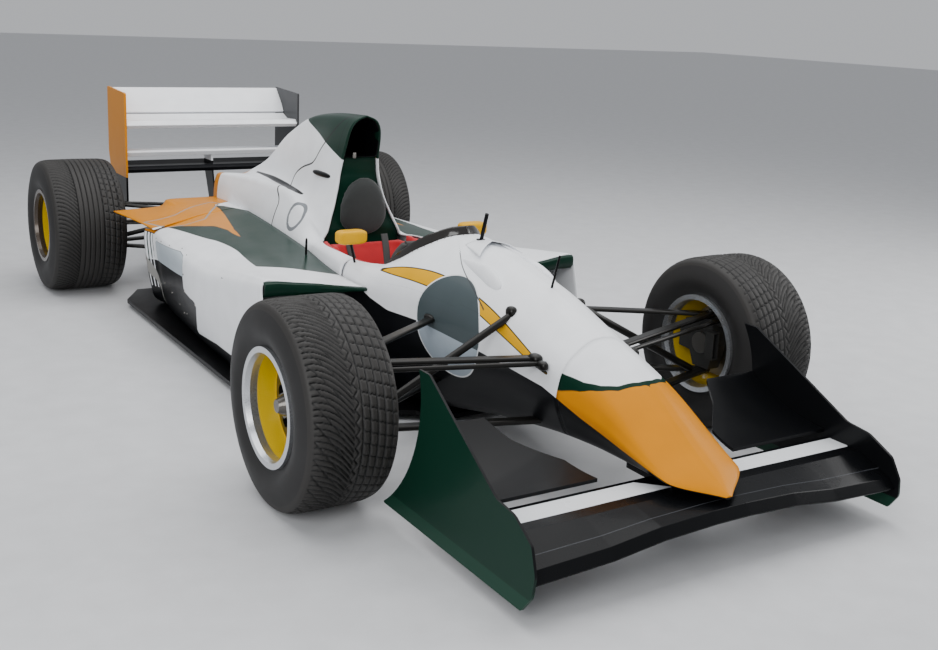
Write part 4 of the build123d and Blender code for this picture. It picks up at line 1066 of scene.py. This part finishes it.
def rear_tread(s, v, turn):
    """As the front, with the swept cuts on the outer third, worn lines and blocks."""
    reach = 1 - (s - 60) / 100
    swept = 2.6 - wave(v - 70 * reach**2, turn / 96) / np.hypot(1, 1.4 * reach)
    outer = np.minimum(swept, np.minimum(s - 60, 158 - s))
    lines = 1.6 - np.abs(s[..., None] - np.array([58.0, 34.0, 10.0, -14.0, -38.0])).min(-1)
    rows = np.abs(s[..., None] - np.array([-60.0, -86.0, -112.0, -138.0])).min(-1)
    across = np.minimum(2.4 - wave(v + 0.3 * s, turn / 54), -60 - s)
    return np.max([outer, lines, np.minimum(np.maximum(2.8 - rows, across), s + 158)], axis=0)


print("steps around a front tyre", round(2 * math.pi * TYRES["front"][0] / AROUND, 1), "mm")


# %% The tyre's profile, turned
def tyre_grid(radius, width, tread):
    """Profile (s, r) from bead to bead, sampled evenly over the tread and turned round the axle:
    points (profile, around, 3) about the wheel's middle, pushed in by r - 5 clip(field/2 + 0.4)."""
    half = width / 2
    bead = half - 22
    # Middle of the tread, shoulder, top and foot of the side wall, then the bead
    corners = [(0, radius), (half - 20, radius - 2), (half, radius - 66), (half, BEAD_RADIUS + 56),
               (bead + 2, BEAD_RADIUS + 18), (bead, BEAD_RADIUS)]
    dense = bend([corners], (0.34, 0.45, 0.45, 0.3), arc=12, run=12)[0]
    length = np.concatenate([[0], np.cumsum(np.linalg.norm(np.diff(dense, axis=0), axis=1))])
    tread_end = half - 8
    wanted = np.concatenate([np.arange(0, tread_end, PROFILE_STEP), np.linspace(tread_end, length[-1], 12)])
    s, r = (np.interp(wanted, length, column) for column in dense.T)
    s, r, reach = (np.concatenate([sign * v[:0:-1], v]) for v, sign in ((s, -1), (r, 1), (wanted, -1)))
    angle = np.linspace(0, 2 * math.pi, AROUND + 1)
    s, angle, r, reach = np.broadcast_arrays(s[:, None], angle[None, :], r[:, None], reach[:, None])
    field = tread(reach, angle * radius, 2 * math.pi * radius)
    deep = r - GROOVE_DEPTH * np.clip(field / 2 + 0.4, 0, 1)
    points = np.stack([s, -deep * np.sin(angle), deep * np.cos(angle)], -1)
    return np.concatenate([points, points[:1]])


# %% Four tyres
# Moulded wet-weather rubber: brownish black on the tread, partly its own colour and partly painted
# light, with painted shade that darkens the side walls and the grooves more
TREAD_RUBBER = plain("wet_tyre_tread", "211F1D", 0.6, grain=500, bump=0.06, layers=[
    ("wall", 0, "131212"), ("groove", 0, "070707")])
for end, tread in (("front", front_tread), ("rear", rear_tread)):
    radius, width, middle, station = TYRES[end]
    points = tyre_grid(radius, width, tread)
    for side, name in SIDES:
        grid = (points + (middle, station, radius)) * (side, 1, 1)
        made = piece(f"tyre_tread_{end}_{name}", [grid], "tyre_rubber", TREAD_RUBBER,
                     body=f"wheel_{end}_{name}", nodes=[f"tyre_{end}_{name}"], both=False, sharp=60)
        x, y, z = places(made)
        angle = np.arctan2(station - y, z - radius) % (2 * math.pi)
        deep = np.hypot(y - station, z - radius)
        groove = tread(x - middle, angle * radius, 2 * math.pi * radius)
        # groove darkens the grooves and wall darkens the side walls: painted shade
        mark(made, groove=np.where(deep > radius - 42, groove, -9.0), wall=radius - 30 - deep)


# %% [markdown]
# ## Rims
# A racing rim has a polished lip, a painted barrel and a cast centre held by one big nut.
# The CAD rims keep their form. Faces could be given materials one by one, but a distance is
# simpler: the finish changes with the distance from the axle and from the wheel's middle,
# which a Mapping node measures from the wheel's own centre.

# %% Rim finishes
CENTRE_RADIUS = 0.155
NUT_RADIUS = 0.046
LIP_WIDTH = 40
LIP_INSET = {"front": 8, "rear": 14}
FADE = 0.0005


def rim_finish(name, end, side, lip_code, lip_metal):
    """Yellow barrel, with the lip, the centre and the nut picked out by two distances."""
    radius, width, middle, station = TYRES[end]
    centre = (middle * side * MM, FRONT_AXLE + station * MM, radius * MM)
    material, tree, place = start(name)
    round_axle = add(tree, "Mapping", {"Vector": place, "Location": (0, -centre[1], -centre[2]),
                                       "Scale": (0, 1, 1)})
    across = add(tree, "Mapping", {"Vector": place, "Location": (-centre[0], 0, 0), "Scale": (1, 0, 0)})
    far = add(tree, "VectorMath", {0: round_axle[0]}, operation="LENGTH")["Value"]
    off = add(tree, "VectorMath", {0: across[0]}, operation="LENGTH")["Value"]
    lip_start = (width / 2 - LIP_INSET[end] - LIP_WIDTH) * MM
    lip = add(tree, "MapRange", {"Value": off, "From Min": lip_start, "From Max": lip_start + 2 * FADE})[0]
    disc, nut = (add(tree, "MapRange", {"Value": far, "From Min": edge + FADE, "From Max": edge - FADE})[0]
                 for edge in (CENTRE_RADIUS, NUT_RADIUS))
    colour = linear("D9B400")
    metal = add(tree, "Math", {0: lip, 1: lip_metal}, operation="MULTIPLY")[0]
    # The polished lip, the dark cast centre, and the steel nut, each over what is below it
    for mask, code in ((lip, lip_code), (disc, "121212"), (nut, "5B5854")):
        colour = add(tree, "MixRGB", {"Fac": mask, "Color1": colour, "Color2": linear(code)})[0]
    for mask, grey in ((disc, 0.0), (nut, 0.9)):
        metal = add(tree, "MixRGB", {"Fac": mask, "Color1": metal, "Color2": (grey, grey, grey, 1)})[0]
    # 700 grains to the metre: the marks of turning, 1.4 mm wide so that they show
    turned = add(tree, "TexNoise", {"Vector": place, "Scale": 700.0})
    rough = add(tree, "MapRange", {"Value": turned[0], "To Min": 0.22, "To Max": 0.34})
    close(tree, {"Base Color": colour, "Metallic": metal, "Roughness": rough[0], "Coat Weight": 0.3})
    return material


# %% Four rims
for end, lip_code, lip_metal in (("front", "C9CCD0", 0.9), ("rear", "463C33", 0.5)):
    for side, name in SIDES:
        paint = rim_finish(f"rim_alloy_{end}_{name}", end, side, lip_code, lip_metal)
        dress(CAD[f"rim_{end}_{name}"], paint)
        print("rim", end, name)


# %% [markdown]
# ## Wings
# The wings are flat plates and aerofoils whose CAD form is right, so only their paint is
# added. Their meshes could be cut along each colour's edge; masks on the object's own
# coordinates need no cut. They pick out the white strips on the front wing, the inner side
# of its endplates, and the two differently painted rear endplates.

# %% Wing finishes
def band(tree, value, low, high):
    """1 where low < value < high, in metres, with soft edges a millimetre wide."""
    up = add(tree, "MapRange", {"Value": value, "From Min": low - FADE, "From Max": low + FADE})[0]
    down = add(tree, "MapRange", {"Value": value, "From Min": high + FADE, "From Max": high - FADE})[0]
    return add(tree, "Math", {0: up, 1: down}, operation="MULTIPLY")[0]


def painted(name, code, choose, roughness=0.3, level=0.14):
    """Sprayed enamel or lacquer, hard and glossy, whose colour is chosen by a function of the
    tree and the place: each mask that it yields lays its colour over what is below."""
    material, tree, place = start(name)
    split = add(tree, "SeparateXYZ", {0: place})
    colour = linear(code)
    for mask, over in choose(tree, split):
        colour = add(tree, "MixRGB", {"Fac": mask, "Color1": colour, "Color2": linear(over)})[0]
    cloud = add(tree, "TexNoise", {"Vector": place, "Scale": 8.0, "Detail": 3.0})
    rough = add(tree, "MapRange", {"Value": cloud[0], "To Min": roughness * 0.8,
                                   "To Max": roughness * 1.25})
    close(tree, {"Base Color": colour, "Roughness": rough[0], "Coat Weight": 0.03,
                 "Specular IOR Level": level})
    return material


# %% The wings' own colours
STRIP_FRONT = 0.757
STRIP_BACK = 0.680
STRIP_INNER = 0.150
STRIP_OUTER = 0.665
JOINT_LINE = 0.87325


def front_strips(tree, split):
    """White strips along the main plane's rear, slanted at their inner ends, and a thin joint."""
    wide = add(tree, "Math", {0: split["X"]}, operation="ABSOLUTE")[0]
    slant = add(tree, "Math", {0: wide, 1: split["Y"]}, operation="SUBTRACT")[0]
    strip = band(tree, split["Y"], FRONT_AXLE - STRIP_FRONT, FRONT_AXLE - STRIP_BACK)
    ends = band(tree, slant, STRIP_INNER + STRIP_BACK - FRONT_AXLE, STRIP_OUTER + STRIP_FRONT - FRONT_AXLE)
    joint = band(tree, split["Y"], FRONT_AXLE - JOINT_LINE - 0.00125, FRONT_AXLE - JOINT_LINE + 0.00125)
    strip = add(tree, "Math", {0: strip, 1: ends}, operation="MULTIPLY")[0]
    upper = band(tree, split["Z"], 0.12, 0.3)
    for mask, code in ((joint, "3A3C40"), (strip, "DDE0E3")):
        yield add(tree, "Math", {0: mask, 1: upper}, operation="MULTIPLY")[0], code


def inner_face(tree, split):
    """The side of each front endplate that faces the car is bare black, and its foot below 85 mm is a
    lighter green, a painted highlight on the flare that faces up.
    """
    turned = add(tree, "SeparateXYZ", {0: add(tree, "NewGeometry")["Normal"]})["X"]
    outward = add(tree, "Math", {0: turned, 1: split["X"]}, operation="MULTIPLY")[0]
    yield band(tree, outward, -9.0, 0.0), "0D0E10"
    # The lighter green below 85 mm is painted highlight on the foot's upward flare.
    yield band(tree, split["Z"], -1.0, 0.085), "16382B"


def rear_plates(tree, split):
    """The left endplate is dark grey, and both are black below the beam wing."""
    yield band(tree, split["X"], 0.0, 1.0), "3A3B3D"
    yield band(tree, split["Z"], 0.0, 0.53), "0E0F11"


def beam_paint(tree, split):
    """White above and black at the trailing edge's underside."""
    yield band(tree, split["Z"], 0.0, 0.60), "141518"


for node, material in (
        ("front_wing", painted("front_wing_lacquer", "0A0B0D", front_strips, 0.26, level=0.12)),
        ("front_endplates", painted("front_endplate_enamel", GREEN, inner_face)),
        ("rear_endplates", painted("rear_endplate_enamel", YELLOW, rear_plates)),
        ("beam_wing", painted("beam_wing_enamel", WHITE, beam_paint))):
    dress(CAD[node], material)
    print("painted", node)


# %% [markdown]
# ## Padding in the cockpit
# The seat, the trim along the opening and the headrest are foam in cloth. A copy of the
# CAD pad, or for the headrest a smoother egg in its place, is cut into small even faces,
# shrunk a little, and blown up by Blender's cloth solver. Sculpting could round it too; the
# solver swells it between its edges as stuffed cloth does, and the same way each time.

# %% Cockpit padding
PRESSURE = 4.0
FRAMES = 20


def stuffed(name, source, material, nodes, inset, cap, voxel=0.008):
    """Remeshes a copy of a mesh, shrinks it along its normals, and lets cloth pressure push
    each point out by at most the cap (metres); the result gets one subdivision."""
    mesh = source.copy()
    item = link(name, mesh)
    work = bmesh.new()
    work.from_mesh(mesh)
    bmesh.ops.remove_doubles(work, verts=work.verts, dist=0.0001)
    work.to_mesh(mesh)
    work.free()
    remesh = item.modifiers.new("even", "REMESH")
    remesh.mode = "VOXEL"
    remesh.voxel_size = voxel
    graph = bpy.context.evaluated_depsgraph_get()
    even = bpy.data.meshes.new_from_object(item.evaluated_get(graph))
    item.modifiers.clear()
    item.data = even
    flat, turned = np.empty(len(even.vertices) * 3), np.empty(len(even.vertices) * 3)
    even.vertices.foreach_get("co", flat)
    even.vertices.foreach_get("normal", turned)
    began = (flat - inset * turned).reshape(-1, 3)
    even.vertices.foreach_set("co", began.ravel())
    cloth = item.modifiers.new("swell", "CLOTH")
    cloth.settings.quality = 4
    cloth.settings.use_pressure = True
    cloth.settings.uniform_pressure_force = PRESSURE
    cloth.settings.effector_weights.gravity = 0.0
    cloth.point_cache.frame_end = FRAMES
    for number in range(1, FRAMES + 1):
        bpy.context.scene.frame_set(number)
    graph = bpy.context.evaluated_depsgraph_get()
    swollen = item.evaluated_get(graph).data
    moved = np.empty(len(swollen.vertices) * 3)
    swollen.vertices.foreach_get("co", moved)
    item.modifiers.clear()
    shift = moved.reshape(-1, 3) - began
    size = np.linalg.norm(shift, axis=1, keepdims=True)
    capped = began + shift * np.minimum(1, cap / np.maximum(size, 1e-9))
    even.vertices.foreach_set("co", capped.ravel())
    bpy.context.scene.frame_set(1)
    dress(item, material)
    even.shade_smooth()
    finer = item.modifiers.new("finer", "SUBSURF")
    finer.levels = finer.render_levels = 1
    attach(item, "chassis")
    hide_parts(*nodes)
    print(name, len(even.polygons), "faces")
    return item


# %% Cloth finishes
def cloth_finish(name, code, dark, thread):
    """Woven cover cloth: crossed threads in relief, and a nap that catches the light. A wave of
    scale 420 repeats every 0.75 mm, and one of scale 300 every 1 mm, as such threads do."""
    material, tree, place = start(name)
    weave = [add(tree, "TexWave", {"Vector": place, "Scale": thread, "Distortion": 1.0},
                 bands_direction=way)[1] for way in ("X", "Y", "Z")]
    crossed = add(tree, "Math", {0: weave[0], 1: weave[1]}, operation="MAXIMUM")[0]
    crossed = add(tree, "Math", {0: crossed, 1: weave[2]}, operation="MAXIMUM")[0]
    cloud = add(tree, "TexNoise", {"Vector": place, "Scale": 14.0, "Detail": 4.0})[0]
    colour = add(tree, "MixRGB", {"Fac": cloud, "Color1": linear(dark), "Color2": linear(code)})[0]
    relief = add(tree, "Bump", {"Height": crossed, "Strength": 0.25, "Distance": 0.001})[0]
    close(tree, {"Base Color": colour, "Roughness": 0.85, "Sheen Weight": 0.15, "Normal": relief})
    return material


# %% Three pads
HEAD_WIDEST = 614
HEAD_HALF = 119
HEAD_BELOW = 100
HEAD_ABOVE = 168
HEAD_BACK = 1338
HEAD_CROWN = 44


def headrest_form():
    """An egg outline, half width h (1 - ((z - widest)/w)^2)^0.5, whose reach w is less below
    its widest height than above it, crowned towards the driver."""
    angle = np.linspace(0, 2 * math.pi, 49)[None, :]
    depth = np.linspace(0, math.pi / 2, 14)[:, None]
    grow = np.sin(depth)**0.7
    height = np.where(np.sin(angle) < 0, HEAD_BELOW, HEAD_ABOVE) * np.sin(angle) * grow
    x = HEAD_HALF * np.cos(angle) * grow
    y = HEAD_BACK - HEAD_CROWN * np.cos(depth)**0.9 + 0 * angle
    return np.stack([x, y, HEAD_WIDEST + height], -1)


SEAT_CLOTH = cloth_finish("red_seat_cloth", "C50D1A", "A00A15", 420.0)
FOAM_SKIN = cloth_finish("grey_headrest_cover", "2B2E2D", "1F2221", 300.0)
stuffed("seat_padding", CAD["seat"].data, SEAT_CLOTH, ["seat"], 0.003, 0.008, voxel=0.012)
stuffed("cockpit_trim", CAD["cockpit_padding"].data, SEAT_CLOTH, ["cockpit_padding"],
        0.004, 0.007)
form = headrest_form()
plug = np.stack([form[-1], form[-1] * (0, 1, 0) + (0, 0, HEAD_WIDEST)])
shape = piece("headrest_form", [form, plug], None, FOAM_SKIN, both=False)
stuffed("headrest_pad", shape.data, FOAM_SKIN, ["headrest"], 0.003, 0.006)
bpy.data.objects.remove(shape)


# %% [markdown]
# ## The studio
# A pale floor, a pale world and three large soft lamps, so that the paint shows long soft
# highlights. A sky with lamps painted on it could do the same; area lamps are easier to
# aim.

# %% Floor, lamps and sky
FLOOR_HALF = 40.0
SKY_STRENGTH = 0.66
LAMPS = [
    # name, place, aimed at, size, power in watts
    ("overhead_softbox", (0.0, 0.2, 4.6), (0.0, 0.0, 0.3), 6.0, 270),
    ("front_softbox", (-4.4, -4.6, 2.9), (0.0, -0.6, 0.4), 3.2, 190),
    ("side_softbox", (4.6, -2.2, 2.7), (0.0, 0.0, 0.5), 3.0, 120),
]


def make_floor():
    """A flat square sheet at z = 0: matt painted board, which shows only soft shadows."""
    mesh = bpy.data.meshes.new("studio_floor")
    corners = [(-FLOOR_HALF, -FLOOR_HALF, 0), (FLOOR_HALF, -FLOOR_HALF, 0), (FLOOR_HALF, FLOOR_HALF, 0),
               (-FLOOR_HALF, FLOOR_HALF, 0)]
    mesh.from_pydata(corners, [], [(0, 1, 2, 3)])
    mesh.materials.append(plain("studio_floor_matt", "C9CACC", 0.8, grain=60.0))
    link("studio_floor", mesh)


def make_lamps():
    """Square area lamps, each turned so that its -Z axis looks at its target."""
    for name, place, target, size, power in LAMPS:
        data = bpy.data.lights.new(name, "AREA")
        data.size = size
        data.energy = power
        lamp = link(name, data)
        back = np.array(place) - np.array(target)
        back = back / np.linalg.norm(back)
        side = np.cross([0, 1, 0] if abs(back[2]) > 0.99 else [0, 0, 1], back)
        side = side / np.linalg.norm(side)
        stand(lamp, side, np.cross(back, side), back, place)


def make_world():
    """An even pale sky."""
    world = bpy.data.worlds.new("studio_world")
    bpy.context.scene.world = world
    world.use_nodes = True
    shade = world.node_tree.nodes["Background"]
    shade.inputs["Color"].default_value = linear("E6E8EC")
    shade.inputs["Strength"].default_value = SKY_STRENGTH


make_floor()
make_lamps()
make_world()
print("lamps", len(LAMPS))
